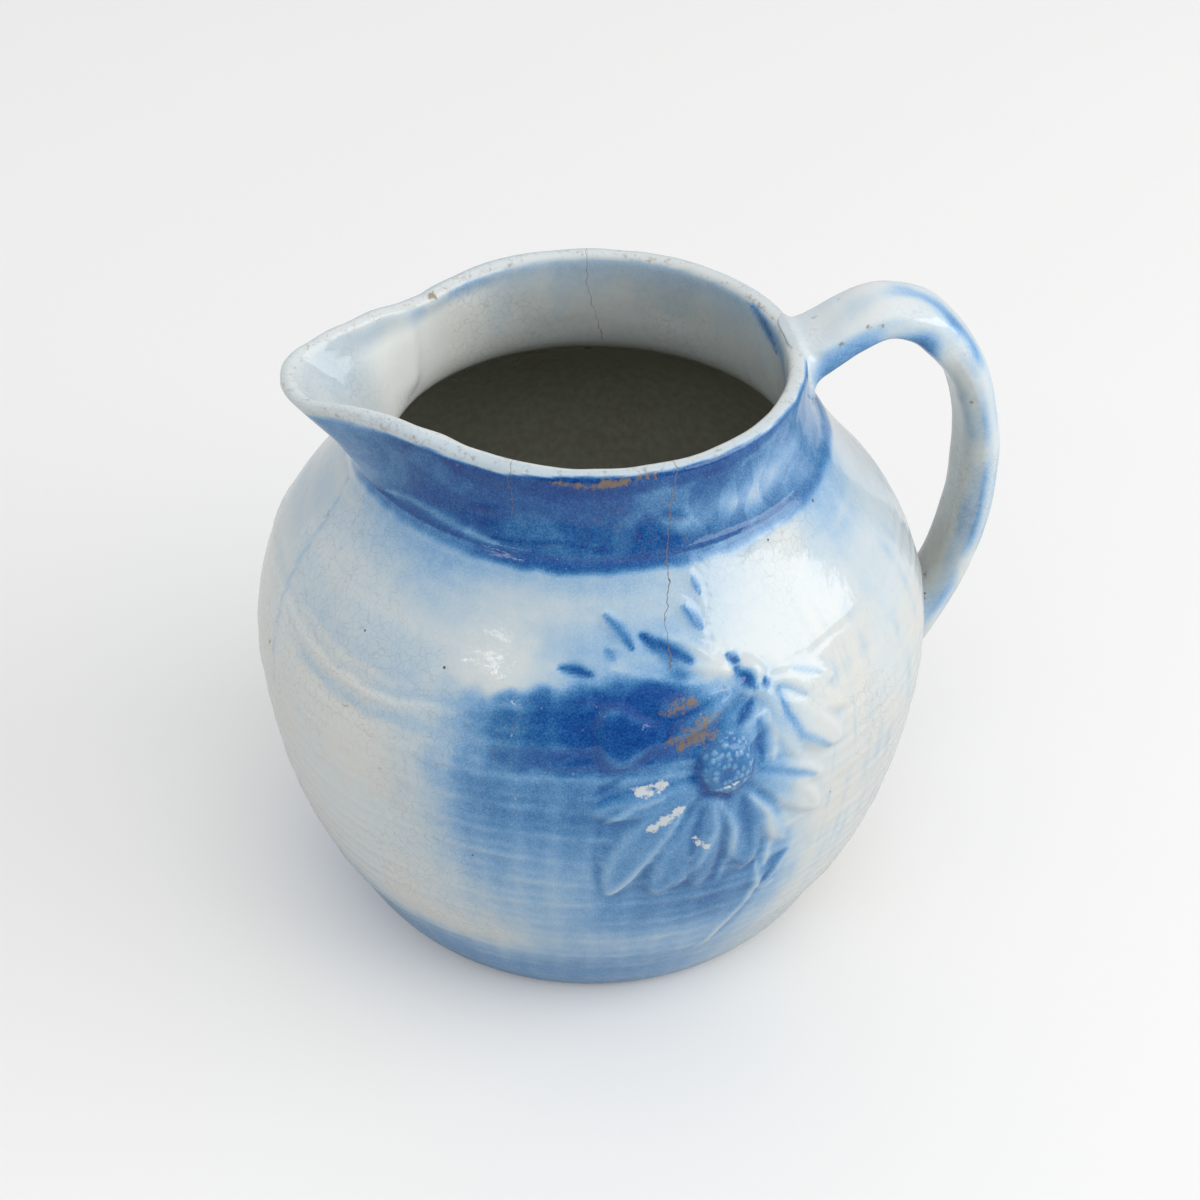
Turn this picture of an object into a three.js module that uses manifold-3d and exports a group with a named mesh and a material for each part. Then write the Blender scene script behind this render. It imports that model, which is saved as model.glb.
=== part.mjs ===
// A relief-moulded, glazed stoneware milk pitcher, in millimetres, with +Z up.
// The base rests on z = 0 and the turning axis is Z. The handle is at +X and the pouring lip at -X.
// It is built as a potter builds it: a thrown belly, a collar standing on the shoulder, a lip
// pulled out of the collar's wall, a strap handle luted on, and daisies pressed from a mould and
// laid on the belly. Where two pieces are luted together the joint is a gap of 0.3 mm.

import * as THREE from 'three';
import { mergeVertices } from 'three/addons/utils/BufferGeometryUtils.js';
import Module from 'manifold-3d';

const wasm = await Module();
wasm.setup();

// Driving sizes
const BELLY_RADIUS = 90;
const RIM_HEIGHT = 163.4;
const CREASE_HEIGHT = 142;
const FLOOR_THICKNESS = 8;
const JOINT_GAP = 0.3;

// How far the lip reaches out beyond the collar, and the angle over which it is pulled, each way
const LIP_REACH = 25.7;
const LIP_HALF_ANGLE = 48;

// Width of the strap over the arch, and what it tapers to where it meets the belly
const HANDLE_WIDTH = 20.5;
const HANDLE_TAIL_WIDTH = 17.5;
const HANDLE_THICKNESS = 10.6;
const HANDLE_CORNER = 3.6;
const HANDLE_ROOT_FLARE = 0.4;

const RELIEF_HEIGHT = 2.4;
// A petal starts this share of the way from the middle of the disc to its tip
const PETAL_START = 0.12;

// How finely the round shapes are faceted
const BODY_SEGMENTS = 60;
const COLLAR_SEGMENTS = 60;
const LIP_SEGMENTS = 120;
const HANDLE_STEPS = 34;
const MOUND_SIDES = 8;
const MOUND_RINGS = 5;

// Outer line of the belly as [radius, height], from the foot to the crease under the collar
const BELLY_OUTER = [
  [59.2, 0], [61.4, 0.8], [63.4, 2.6], [67.3, 8], [72.5, 17.8], [77.4, 26.5], [81.2, 35.5], [84.2, 44.5],
  [86.5, 53.5], [88.2, 62.5], [89.3, 71.5], [BELLY_RADIUS, 81], [89.6, 90], [87.9, 98.5], [85, 106.6],
  [80.2, 115], [73.8, 123], [67.7, 131], [63.4, 137.6], [61, CREASE_HEIGHT],
];

// Inner line of the belly, from the throat down to the floor
const BELLY_INNER = [
  [53, 134], [57, 130.5], [63.5, 126], [71, 119], [77.8, 111], [82, 102], [84, 90], [83.9, 78], [82.6, 66],
  [80.2, 54], [76.6, 41], [71.5, 28], [65.5, 17.5], [58, 10.6], [48, 8.6],
];

// Wall of the collar as [radius, height, share of the lip's reach], outside up, over the rim, inside down.
// The first row and the last lie just inside the belly's shoulder, where the foot is cut to its seat.
const COLLAR_WALL = [
  [61.2, 138, 0.03], [61, CREASE_HEIGHT, 0.11], [58.6, 144.8, 0.25], [57.2, 148, 0.38], [56.2, 152, 0.53],
  [55.5, 157, 0.75], [55.2, 160, 0.88], [54.9, 162.2, 0.99], [53.6, RIM_HEIGHT, 1], [51.6, 163.3, 1],
  [50.1, 161.8, 0.99], [49.7, 157.5, 0.72], [49.9, 152, 0.525], [50.4, 146, 0.37], [51.2, 140, 0.2],
  [53, 134, 0],
];

// Plan of the lip: [degrees from the lip's middle, share of the reach]
const LIP_PLAN = [
  [0, 1], [3, 0.985], [6, 0.95], [9, 0.87], [12, 0.72], [15, 0.59], [18, 0.48], [21, 0.38], [24, 0.305],
  [28, 0.235], [32, 0.17], [36, 0.105], [40, 0.06], [LIP_HALF_ANGLE, 0],
];

// How much higher than the level rim the lip stands: [degrees from the lip's middle, rise]
const LIP_RISE = [
  [0, 3.3], [6, 3.2], [12, 4], [16, 4.4], [20, 4], [28, 3.1], [36, 1.4], [42, 0.4], [LIP_HALF_ANGLE, 0],
];

// Middle line of the handle in the plane y = 0, as [x, z], from inside the collar to inside the belly
const HANDLE_LINE = [
  [50, 154], [58, 158.3], [67.5, 164.2], [77, 167.4], [86.2, 165], [94, 158], [100.1, 148.8],
  [104, 137], [105.9, 124], [105.9, 111.5], [104.4, 99], [101.2, 87], [96, 75], [89.2, 63.5], [80.5, 52],
];

// Places on the belly are [azimuth in degrees from +X, z]. A daisy has a seeded disc and a fan of petals
const LOWER_DAISY = {
  disc: { at: [-80.5, 95.5], radius: 6 },
  petals: [
    { tip: [-102, 89], width: 7 },
    { tip: [-100, 61], width: 10 },
    { tip: [-91.5, 62], width: 9 },
    { tip: [-85.5, 55], width: 6 },
    { tip: [-80.5, 57], width: 6.5 },
    { tip: [-74.5, 59], width: 8 },
    { tip: [-68, 67], width: 7 },
    { tip: [-60.5, 70], width: 7.5 },
    { tip: [-63, 83], width: 5 },
    { tip: [-73.5, 102], width: 6 },
  ],
};

const UPPER_DAISY = {
  disc: { at: [-73.5, 114], radius: 5 },
  petals: [
    { tip: [-66.5, 92], width: 6.5 },
    { tip: [-58, 90.5], width: 8 },
    { tip: [-57, 97.5], width: 6 },
    { tip: [-57, 105.5], width: 6 },
    { tip: [-91, 113.5], width: 6.5 },
    { tip: [-90.5, 105], width: 7 },
    { tip: [-92, 126.5], width: 7.5 },
  ],
};

// Single leaves of the sprays
const LEAVES = {
  round_leaf: { from: [-92, 108], to: [-103, 109], width: 15 },
  slender_leaf_outer: { from: [-93.5, 129], to: [-101, 134], width: 3.6 },
  slender_leaf_inner: { from: [-79.5, 122], to: [-83.5, 132.5], width: 3.8 },
  fallen_leaf: { from: [-67.5, 60.5], to: [-73.5, 51], width: 6 },
};

const GLAZES = {
  white: { color: '#e4e5e1', roughness: 0.12 },
  blue: { color: '#5f86c4', roughness: 0.12 },
  lip: { color: '#b4c4d8', roughness: 0.12 },
  handle: { color: '#cdd3d6', roughness: 0.14 },
  relief: { color: '#5677b4', roughness: 0.14 },
};

const TO_RADIANS = Math.PI / 180;

// Value of a line given as rows of [x, y], straight between its rows and level beyond them
function readRows(rows, x) {
  if (x <= rows[0][0]) {
    return rows[0][1];
  }
  for (let i = 1; i < rows.length; i += 1) {
    const [x1, y1] = rows[i];
    const [x0, y0] = rows[i - 1];
    if (x <= x1) {
      return y0 + ((y1 - y0) * (x - x0)) / (x1 - x0);
    }
  }
  return rows[rows.length - 1][1];
}

// Belly radius at a height
function bellyRadius(z) {
  return readRows(BELLY_OUTER.map(([r, height]) => [height, r]), z);
}

// A closed geometry with shared corners and its faces pointing out
function closed(geometry) {
  geometry.deleteAttribute('normal');
  geometry.deleteAttribute('uv');
  const merged = mergeVertices(geometry, 1e-4);
  const at = merged.attributes.position;
  const index = merged.index.array;
  const corner = [new THREE.Vector3(), new THREE.Vector3(), new THREE.Vector3()];
  const kept = [];
  let volume = 0;
  for (let i = 0; i < index.length; i += 3) {
    const [a, b, c] = [index[i], index[i + 1], index[i + 2]];
    if (a !== b && b !== c && c !== a) {
      kept.push(a, b, c);
      corner[0].fromBufferAttribute(at, a);
      corner[1].fromBufferAttribute(at, b);
      corner[2].fromBufferAttribute(at, c);
      volume += corner[0].dot(corner[1].cross(corner[2]));
    }
  }
  if (volume < 0) {
    kept.reverse();
  }
  merged.setIndex(kept);
  return merged;
}

function toSolid(geometry) {
  const shape = closed(geometry);
  return new wasm.Manifold(new wasm.Mesh({
    numProp: 3,
    vertProperties: Float32Array.from(shape.attributes.position.array),
    triVerts: Uint32Array.from(shape.index.array),
  }));
}

function toGeometry(solid) {
  const mesh = solid.getMesh();
  const geometry = new THREE.BufferGeometry();
  geometry.setAttribute('position', new THREE.BufferAttribute(mesh.vertProperties, 3));
  geometry.setIndex(new THREE.BufferAttribute(mesh.triVerts, 1));
  geometry.computeVertexNormals();
  return geometry;
}

// A profile of [radius, height] points turned about Z
function turned(profile, segments) {
  const points = profile.map(([r, z]) => new THREE.Vector2(r, z));
  return new THREE.LatheGeometry(points, segments).rotateX(Math.PI / 2);
}

// A tall wedge about the lip's middle line, for parting the lip from the collar
function lipWedge(halfAngle) {
  const reach = 2 * BELLY_RADIUS;
  const outline = new THREE.Shape();
  outline.moveTo(0, 0);
  outline.lineTo(-reach * Math.cos(halfAngle), -reach * Math.sin(halfAngle));
  outline.lineTo(-reach, 0);
  outline.lineTo(-reach * Math.cos(halfAngle), reach * Math.sin(halfAngle));
  outline.closePath();
  return toSolid(new THREE.ExtrudeGeometry(outline, { depth: 2 * RIM_HEIGHT, bevelEnabled: false }));
}

// What a luted piece is cut back from: the belly filled up to its seat, grown by the joint gap
function bellyCutter() {
  const grown = BELLY_OUTER.map(([r, z]) => [r + JOINT_GAP, z]);
  const [throatRadius, throatHeight] = BELLY_INNER[0];
  const seatRise = Math.SQRT2 * JOINT_GAP;
  const seat = [
    [BELLY_OUTER.at(-1)[0] + JOINT_GAP, CREASE_HEIGHT + seatRise],
    [throatRadius, throatHeight + seatRise],
    [0, throatHeight + seatRise],
  ];
  return toSolid(turned([[0, -1], [grown[0][0], -1], ...grown, ...seat], BODY_SEGMENTS));
}

// The collar filled, grown by the joint gap
function collarCutter() {
  const rimRow = COLLAR_WALL.findIndex(([, z]) => z === RIM_HEIGHT);
  const outside = COLLAR_WALL.slice(0, rimRow + 1).map(([r, z]) => [r + JOINT_GAP, z]);
  const top = RIM_HEIGHT + HANDLE_THICKNESS;
  return toSolid(turned([[0, CREASE_HEIGHT - 8], ...outside, [53, top], [0, top]], COLLAR_SEGMENTS));
}

// Belly: floor, wall and shoulder, with a bevelled seat on which the collar stands
function bellyGeometry() {
  const profile = [[0, 0], ...BELLY_OUTER, ...BELLY_INNER, [30, FLOOR_THICKNESS], [0, FLOOR_THICKNESS]];
  return closed(turned(profile, BODY_SEGMENTS));
}

// Ring of wall above the crease, before its foot is cut to the seat
function collarRing(segments) {
  const wall = COLLAR_WALL.map(([r, z]) => [r, z]);
  return turned([...wall, wall[0]], segments);
}

// Collar: the ring less the lip's share of it, with a joint gap at each side of the lip
function collarGeometry() {
  const middleRadius = 52.5;
  const jointAngle = LIP_HALF_ANGLE * TO_RADIANS + JOINT_GAP / middleRadius;
  const ring = toSolid(collarRing(COLLAR_SEGMENTS));
  return toGeometry(ring.subtract(lipWedge(jointAngle)).subtract(bellyCutter()));
}

// Lip: the collar's wall pulled outward and a little upward about its middle line
function lipGeometry() {
  const ring = collarRing(LIP_SEGMENTS);
  const at = ring.attributes.position;
  const rows = COLLAR_WALL.length + 1;
  for (let i = 0; i < at.count; i += 1) {
    const share = COLLAR_WALL[(i % rows) % COLLAR_WALL.length][2];
    const radius = Math.hypot(at.getX(i), at.getY(i));
    const angle = Math.abs(Math.atan2(at.getY(i), -at.getX(i))) / TO_RADIANS;
    const spread = readRows(LIP_PLAN, angle);
    const pulled = 1 + (LIP_REACH * share * spread) / radius;
    const rise = readRows(LIP_RISE, angle) * share ** 4;
    at.setXYZ(i, at.getX(i) * pulled, at.getY(i) * pulled, at.getZ(i) + rise);
  }
  const lip = toSolid(ring).intersect(lipWedge(LIP_HALF_ANGLE * TO_RADIANS));
  return toGeometry(lip.subtract(bellyCutter()));
}

// Cross-section of the strap: a rectangle with rounded corners
function strapSection() {
  const [w, t, c] = [HANDLE_WIDTH / 2, HANDLE_THICKNESS / 2, HANDLE_CORNER];
  const outline = new THREE.Shape();
  outline.moveTo(-w + c, -t);
  outline.lineTo(w - c, -t);
  outline.quadraticCurveTo(w, -t, w, -t + c);
  outline.lineTo(w, t - c);
  outline.quadraticCurveTo(w, t, w - c, t);
  outline.lineTo(-w + c, t);
  outline.quadraticCurveTo(-w, t, -w, t - c);
  outline.lineTo(-w, -t + c);
  outline.quadraticCurveTo(-w, -t, -w + c, -t);
  return outline;
}

// Handle: a strap bent along its middle line, wider at the collar, cut to the walls that it meets
function handleGeometry() {
  const line = new THREE.CatmullRomCurve3(HANDLE_LINE.map(([x, z]) => new THREE.Vector3(x, 0, z)));
  const strap = new THREE.ExtrudeGeometry(strapSection(), {
    extrudePath: line,
    steps: HANDLE_STEPS,
    curveSegments: 2,
    bevelEnabled: false,
  });
  const rootX = 55;
  const flareLength = 7;
  const tail = HANDLE_TAIL_WIDTH / HANDLE_WIDTH;
  const at = strap.attributes.position;
  for (let i = 0; i < at.count; i += 1) {
    const z = at.getZ(i);
    const taper = readRows([[100, tail], [150, 1]], z);
    const flare = z > CREASE_HEIGHT ? Math.exp(-(((at.getX(i) - rootX) / flareLength) ** 2)) : 0;
    at.setY(i, at.getY(i) * taper * (1 + HANDLE_ROOT_FLARE * flare));
  }
  return toGeometry(toSolid(strap).subtract(bellyCutter()).subtract(collarCutter()));
}

// A low rounded mound lying on the belly between two points, as { from, to, width, height }
function mound({ from, to, width, height }) {
  const ball = new THREE.SphereGeometry(1, MOUND_SIDES, MOUND_RINGS).rotateZ(Math.PI / 2);
  const middleZ = (from[1] + to[1]) / 2;
  const middleAzimuth = ((from[0] + to[0]) / 2) * TO_RADIANS;
  const radius = bellyRadius(middleZ);
  const slope = (bellyRadius(middleZ + 1) - bellyRadius(middleZ - 1)) / 2;
  const rise = Math.hypot(1, slope);
  const along = new THREE.Vector2((to[0] - from[0]) * TO_RADIANS * radius, (to[1] - from[1]) * rise);
  const half = along.length() / 2;
  along.normalize();
  const at = ball.attributes.position;
  for (let i = 0; i < at.count; i += 1) {
    const u = at.getX(i) * half;
    const v = (at.getY(i) * width) / 2;
    const azimuth = middleAzimuth + (u * along.x - v * along.y) / radius;
    const z = middleZ + (u * along.y + v * along.x) / rise;
    const r = bellyRadius(z) + JOINT_GAP + Math.max(at.getZ(i), 0) * height;
    at.setXYZ(i, r * Math.cos(azimuth), r * Math.sin(azimuth), z);
  }
  return toSolid(ball);
}

// A daisy: its seeded disc joined with its petals
function daisySolid({ disc, petals }, grow) {
  const [azimuth, z] = disc.at;
  const halfTurn = disc.radius / bellyRadius(z) / TO_RADIANS;
  let flower = mound({
    from: [azimuth - halfTurn, z],
    to: [azimuth + halfTurn, z],
    width: 2 * disc.radius + grow,
    height: RELIEF_HEIGHT + 1 + grow,
  });
  for (const { tip, width } of petals) {
    const from = [azimuth + PETAL_START * (tip[0] - azimuth), z + PETAL_START * (tip[1] - z)];
    flower = flower.add(mound({ from, to: tip, width: width + grow, height: RELIEF_HEIGHT + grow }));
  }
  return flower;
}

// The spray laid on one face of the belly
function spray() {
  const upper = daisySolid(UPPER_DAISY, 0);
  const pieces = {
    upper_daisy: upper,
    lower_daisy: daisySolid(LOWER_DAISY, 0).subtract(daisySolid(UPPER_DAISY, 2 * JOINT_GAP)),
  };
  for (const [name, leaf] of Object.entries(LEAVES)) {
    pieces[name] = mound({ ...leaf, height: RELIEF_HEIGHT });
  }
  return pieces;
}

function addPiece(group, name, geometry, glaze) {
  const material = new THREE.MeshStandardMaterial({ ...GLAZES[glaze], metalness: 0 });
  const mesh = new THREE.Mesh(geometry, material);
  mesh.name = name;
  group.add(mesh);
}

// The whole pitcher
function pitcher() {
  const group = new THREE.Group();
  addPiece(group, 'belly', bellyGeometry(), 'white');
  addPiece(group, 'collar', collarGeometry(), 'blue');
  addPiece(group, 'pouring_lip', lipGeometry(), 'lip');
  addPiece(group, 'handle', handleGeometry(), 'handle');
  for (const [name, solid] of Object.entries(spray())) {
    addPiece(group, `${name}_near`, toGeometry(solid), 'relief');
    addPiece(group, `${name}_far`, toGeometry(solid.mirror([0, 1, 0])), 'relief');
  }
  return group;
}

export default pitcher();
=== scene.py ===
"""A glazed stoneware milk pitcher with moulded daisies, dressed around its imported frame.

The frame holds the potter's pieces: belly, collar, pouring lip, handle and the sprays laid on.
Here they wear the glaze that ran over their joints: the belly with both its sprays in relief,
the collar with the lip pulled out of it, and the strap handle luted on. Sizes are in
millimetres and turned into metres where a mesh is made. Azimuth is in degrees from +X, where
the handle is; the lip is at 180 and the side that faces the viewer at -90.
"""

import logging
import math
from dataclasses import dataclass
from enum import Enum

import bpy
import numpy as np
from mathutils import Matrix, Vector


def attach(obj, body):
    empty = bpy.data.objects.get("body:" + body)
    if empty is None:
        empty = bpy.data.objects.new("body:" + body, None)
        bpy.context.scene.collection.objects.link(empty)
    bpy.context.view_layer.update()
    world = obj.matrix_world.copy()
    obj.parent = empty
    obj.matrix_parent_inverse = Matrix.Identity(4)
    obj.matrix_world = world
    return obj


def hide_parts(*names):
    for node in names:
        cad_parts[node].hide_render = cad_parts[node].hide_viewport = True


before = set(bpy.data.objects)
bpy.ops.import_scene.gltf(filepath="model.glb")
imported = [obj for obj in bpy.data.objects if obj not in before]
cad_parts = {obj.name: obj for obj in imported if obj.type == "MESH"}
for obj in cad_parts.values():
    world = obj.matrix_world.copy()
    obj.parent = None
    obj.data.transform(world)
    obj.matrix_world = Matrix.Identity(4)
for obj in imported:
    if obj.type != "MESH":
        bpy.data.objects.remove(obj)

MM = 0.001
SAME_PLACE = 1e-6
log = logging.getLogger("pitcher")

Rows = tuple[tuple[float, ...], ...]
Point = tuple[float, float]
Socket = bpy.types.NodeSocket


class Side(Enum):
    """Which of the crock's two pieces a face of the turned wall belongs to."""

    BELLY = "glazed_belly"
    COLLAR = "glazed_collar"


def select_only(piece: bpy.types.Object) -> None:
    """Makes one object the only selected one, and the active one.

    Args:
        piece: the object.
    """
    bpy.ops.object.select_all(action="DESELECT")
    piece.select_set(True)
    bpy.context.view_layer.objects.active = piece


def open_mesh(picked: bool = True) -> None:
    """Opens the active object's mesh, with everything picked or nothing."""
    bpy.ops.object.mode_set(mode="EDIT")
    bpy.ops.mesh.select_all(action="SELECT" if picked else "DESELECT")


def close_mesh() -> None:
    """Goes back from the mesh to the object."""
    bpy.ops.object.mode_set(mode="OBJECT")


def smoothstep(value: np.ndarray, low: float, high: float) -> np.ndarray:
    """Rises from 0 at low to 1 at high with level ends."""
    share = np.clip((value - low) / (high - low), 0.0, 1.0)
    return share * share * (3.0 - 2.0 * share)


def within(value: np.ndarray, rise: Point, fall: Point) -> np.ndarray:
    """Rises from 0 to 1 over one span and falls back to 0 over another."""
    return smoothstep(value, *rise) * (1 - smoothstep(value, *fall))


def bell(off: np.ndarray, width: float) -> np.ndarray:
    """1 where off is 0, and falling softly to either side."""
    return np.exp(-((off / width) ** 2))


def hermite(knots: np.ndarray, values: np.ndarray, slopes: np.ndarray, at: np.ndarray) -> np.ndarray:
    """Reads a smooth line that leaves each knot at a given slope.

    Args:
        knots: increasing places.
        values: the line's value at each knot.
        slopes: its slope at each knot.
        at: places to read, none of them outside the knots.

    Returns:
        The value at each place.
    """
    k = np.clip(np.searchsorted(knots, at, side="right") - 1, 0, len(knots) - 2)
    step = knots[k + 1] - knots[k]
    t = (at - knots[k]) / step
    return (
        values[k] * (1 + 2 * t) * (1 - t) ** 2
        + slopes[k] * step * t * (1 - t) ** 2
        + values[k + 1] * t * t * (3 - 2 * t)
        + slopes[k + 1] * step * t * t * (t - 1)
    )


def eased(rows: Rows, column: int, x: np.ndarray) -> np.ndarray:
    """Reads a smooth line that runs through rows without overshooting them.

    Args:
        rows: rows of numbers, whose first column increases.
        column: which column to read.
        x: places along the first column.

    Returns:
        The value of the column at each place.
    """
    table = np.array(rows, float)
    xs, ys = table[:, 0], table[:, column]
    step = np.diff(xs)
    slope = np.diff(ys) / step
    tangent = np.zeros_like(ys)
    tangent[0], tangent[-1] = slope[0], slope[-1]
    same = slope[:-1] * slope[1:] > 0
    near = 2.0 * step[1:] + step[:-1]
    far = step[1:] + 2.0 * step[:-1]
    with np.errstate(divide="ignore", invalid="ignore"):
        mean = (near + far) / (near / slope[:-1] + far / slope[1:])
    tangent[1:-1] = np.where(same, mean, 0.0)
    return hermite(xs, ys, tangent, np.clip(x, xs[0], xs[-1]))


def ripples(points: np.ndarray, wavelength: Point, seed: int, waves: int = 18) -> np.ndarray:
    """Even, smooth, random ripples in space.

    Args:
        points: places in millimetres, with x, y and z last.
        wavelength: shortest and longest wave in millimetres.
        seed: which ripples.
        waves: how many plane waves are summed.

    Returns:
        A value near -1 to 1 at each place.
    """
    draw = np.random.default_rng(seed)
    total = np.zeros(points.shape[:-1])
    for _ in range(waves):
        direction = draw.normal(size=3)
        direction /= np.linalg.norm(direction)
        length = draw.uniform(*wavelength)
        phase = draw.uniform(0, 2 * math.pi)
        total += np.cos(points @ direction * (2 * math.pi / length) + phase)
    return total / math.sqrt(waves)


def blurred(field: np.ndarray, passes: int) -> np.ndarray:
    """Evens a field out over its neighbours.

    Args:
        field: values by column and row; the columns close round the pot.
        passes: how many times it is evened.

    Returns:
        The evened field.
    """
    for _ in range(passes):
        field = 0.5 * field + 0.25 * (np.roll(field, 1, 0) + np.roll(field, -1, 0))
        padded = np.pad(field, ((0, 0), (1, 1)), mode="edge")
        field = 0.5 * field + 0.25 * (padded[:, :-2] + padded[:, 2:])
    return field


@dataclass(frozen=True)
class Wall:
    """The thrown wall in section, from under the base round to the middle of the floor.

    Each row is radius, height, share of the lip's reach, and the spacing of the mesh there.
    """

    underside: Rows = (
        (0.0, 1.3, 0, 8), (46, 1.2, 0, 7), (54, 0.9, 0, 2), (56.6, 0.15, 0, 1), (58, 0.0, 0, 1),
        (60, 0.05, 0, 1), (61.4, 0.8, 0, 1.2), (63.4, 2.6, 0, 1.6), (67.3, 8, 0, 1.6),
        (72.5, 17.8, 0, 1.3), (77.4, 26.5, 0, 1.2), (81.2, 35.5, 0, 1.1), (84.2, 44.5, 0, 0.8),
    )
    belly: Rows = (
        (86.5, 53.5, 0, 0.78), (88.2, 62.5, 0, 0.78), (89.3, 71.5, 0, 0.78), (90, 81, 0, 0.78),
        (89.6, 90, 0, 0.78), (87.9, 98.5, 0, 0.78), (85, 106.6, 0, 0.78), (80.2, 115, 0, 0.78),
        (73.8, 123, 0, 0.78), (67.9, 130.8, 0, 0.78), (63.9, 137, 0.01, 0.8), (61.9, 140.4, 0.06, 0.7),
    )
    collar: Rows = (
        (60.6, 142, 0.11, 0.6), (59.3, 143.2, 0.18, 0.6), (58.4, 145.0, 0.25, 0.8),
        (57.2, 148, 0.38, 0.9), (56.2, 152, 0.53, 0.9), (55.5, 157, 0.75, 0.9), (55.35, 160, 0.88, 0.8),
        (55.1, 161.7, 0.97, 0.6), (54.2, 162.95, 1, 0.5), (52.8, 163.4, 1, 0.6), (51.3, 163.1, 1, 0.6),
        (50.2, 161.8, 0.99, 0.7), (49.8, 159.6, 0.86, 1), (49.7, 157, 0.70, 1.3), (49.9, 152, 0.525, 1.5),
        (50.4, 146, 0.37, 1.5), (51.2, 140, 0.2, 1.5), (52.3, 136, 0.05, 1.2),
    )
    inside: Rows = (
        (54, 133, 0, 1.5), (57.5, 130, 0, 3), (63.5, 126, 0, 4), (71, 119, 0, 5), (77.8, 111, 0, 5),
        (82, 102, 0, 5), (84, 90, 0, 5), (83.9, 78, 0, 5), (82.6, 66, 0, 5), (80.2, 54, 0, 5),
        (76.6, 41, 0, 5), (71.5, 28, 0, 5), (65.5, 17.5, 0, 4), (58, 10.6, 0, 4), (48, 8.6, 0, 6),
        (30, 8, 0, 8), (0.0, 8, 0, 8),
    )
    outer_rows_of_collar: int = 10
    samples: int = 12000

    def outside(self) -> np.ndarray:
        """The rows of the outer face, from the belly's girth to the top of the rim."""
        return np.array(self.belly + self.collar[: self.outer_rows_of_collar], float)

    def section(self) -> dict[str, np.ndarray]:
        """Samples the wall at the mesh's own spacing.

        Returns:
            Radius, height, share of the lip's reach, normal and arc length of each row, and
            under "crease" and "throat" the rows where belly and collar part.
        """
        rows = np.array(self.underside + self.belly + self.collar + self.inside, float)
        chord = np.concatenate([[0], np.cumsum(np.hypot(*np.diff(rows[:, :2], axis=0).T))])
        keyed = tuple(map(tuple, np.column_stack([chord, rows])))
        along = np.linspace(0, chord[-1], self.samples)
        spacing = np.interp(along, chord, rows[:, 3])
        count = np.concatenate([[0], np.cumsum(np.diff(along) / spacing[1:])])
        picked = np.interp(np.linspace(0, count[-1], round(count[-1]) + 1), count, along)
        fine_r, fine_z = eased(keyed, 1, along), eased(keyed, 2, along)
        turn_r, turn_z = np.gradient(fine_r, along), np.gradient(fine_z, along)
        length = np.hypot(turn_r, turn_z)
        arc = np.concatenate([[0], np.cumsum(np.hypot(np.diff(fine_r), np.diff(fine_z)))])
        outer = len(self.underside + self.belly)
        foot_of_collar = chord[outer]
        throat = chord[outer + len(self.collar)]
        return {
            "r": eased(keyed, 1, picked),
            "z": eased(keyed, 2, picked),
            "share": np.interp(picked, chord, rows[:, 2]),
            "normal_r": np.interp(picked, along, turn_z / length),
            "normal_z": np.interp(picked, along, -turn_r / length),
            "arc": np.interp(picked, along, arc),
            "crease": int(np.argmin(abs(picked - foot_of_collar))),
            "throat": int(np.argmin(abs(picked - throat))),
        }


@dataclass(frozen=True)
class Lip:
    """The pouring lip: the collar's wall pulled outward and a little upward."""

    reach: float = 25.9
    plan: Rows = (
        (0, 1), (3, 0.985), (6, 0.95), (9, 0.87), (12, 0.72), (15, 0.59), (18, 0.48), (21, 0.38),
        (24, 0.305), (28, 0.235), (32, 0.17), (36, 0.105), (40, 0.06), (48, 0), (180, 0),
    )
    rise: Rows = (
        (0, 3.3), (6, 3.2), (12, 4), (16, 4.4), (20, 4), (28, 3.1), (36, 1.4), (42, 0.4), (48, 0),
        (180, 0),
    )
    fold_angle: float = 34.0
    fold_width: float = 4.5
    fold_height: float = 1.3

    def pull(self, azimuth: np.ndarray, share: np.ndarray) -> tuple[np.ndarray, np.ndarray]:
        """How far each point of the wall moves.

        Args:
            azimuth: degrees from the handle.
            share: share of the reach that each row takes.

        Returns:
            The outward and the upward move in millimetres.
        """
        off_middle = 180.0 - abs(azimuth)
        outward = self.reach * share * eased(self.plan, 1, off_middle)
        upward = eased(self.rise, 1, off_middle) * share**4
        return outward, upward

    def fold(self, azimuth: np.ndarray) -> np.ndarray:
        """The soft fold inside, where the trough meets the round wall, from 0 to 1."""
        return bell(180.0 - abs(azimuth) - self.fold_angle, self.fold_width)


@dataclass(frozen=True)
class Petal:
    """A petal of a daisy, from the middle of its disc to its tip, dished along its middle."""

    tip: Point
    width: float
    height: float = 1.45
    dish: float = 0.22
    curl: float = 0.0


@dataclass(frozen=True)
class Stroke:
    """A line along which glaze pools, thins or is worn, or along which a highlight is painted, and how
    strongly the clay follows it.
    """

    path: tuple[Point, ...]
    width: float
    strength: float
    cut: float = 1.0
    taper: float = 0.55

    def bell(self, field: "WallField") -> np.ndarray:
        """The stroke's soft section over a face of the wall, 1 along its middle."""
        off, share = field.from_path(self.path)
        return bell(off, self.width * (1 - self.taper * (2 * share - 1) ** 2))


@dataclass(frozen=True)
class Spray:
    """A soft-edged field of sprayed cobalt, as limits of azimuth and height."""

    west: float
    east: float
    low: float
    high: float
    strength: float
    side_blur: float = 4.0
    low_blur: float = 3.0
    high_blur: float = 2.0
    ragged: float = 1.0


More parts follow.
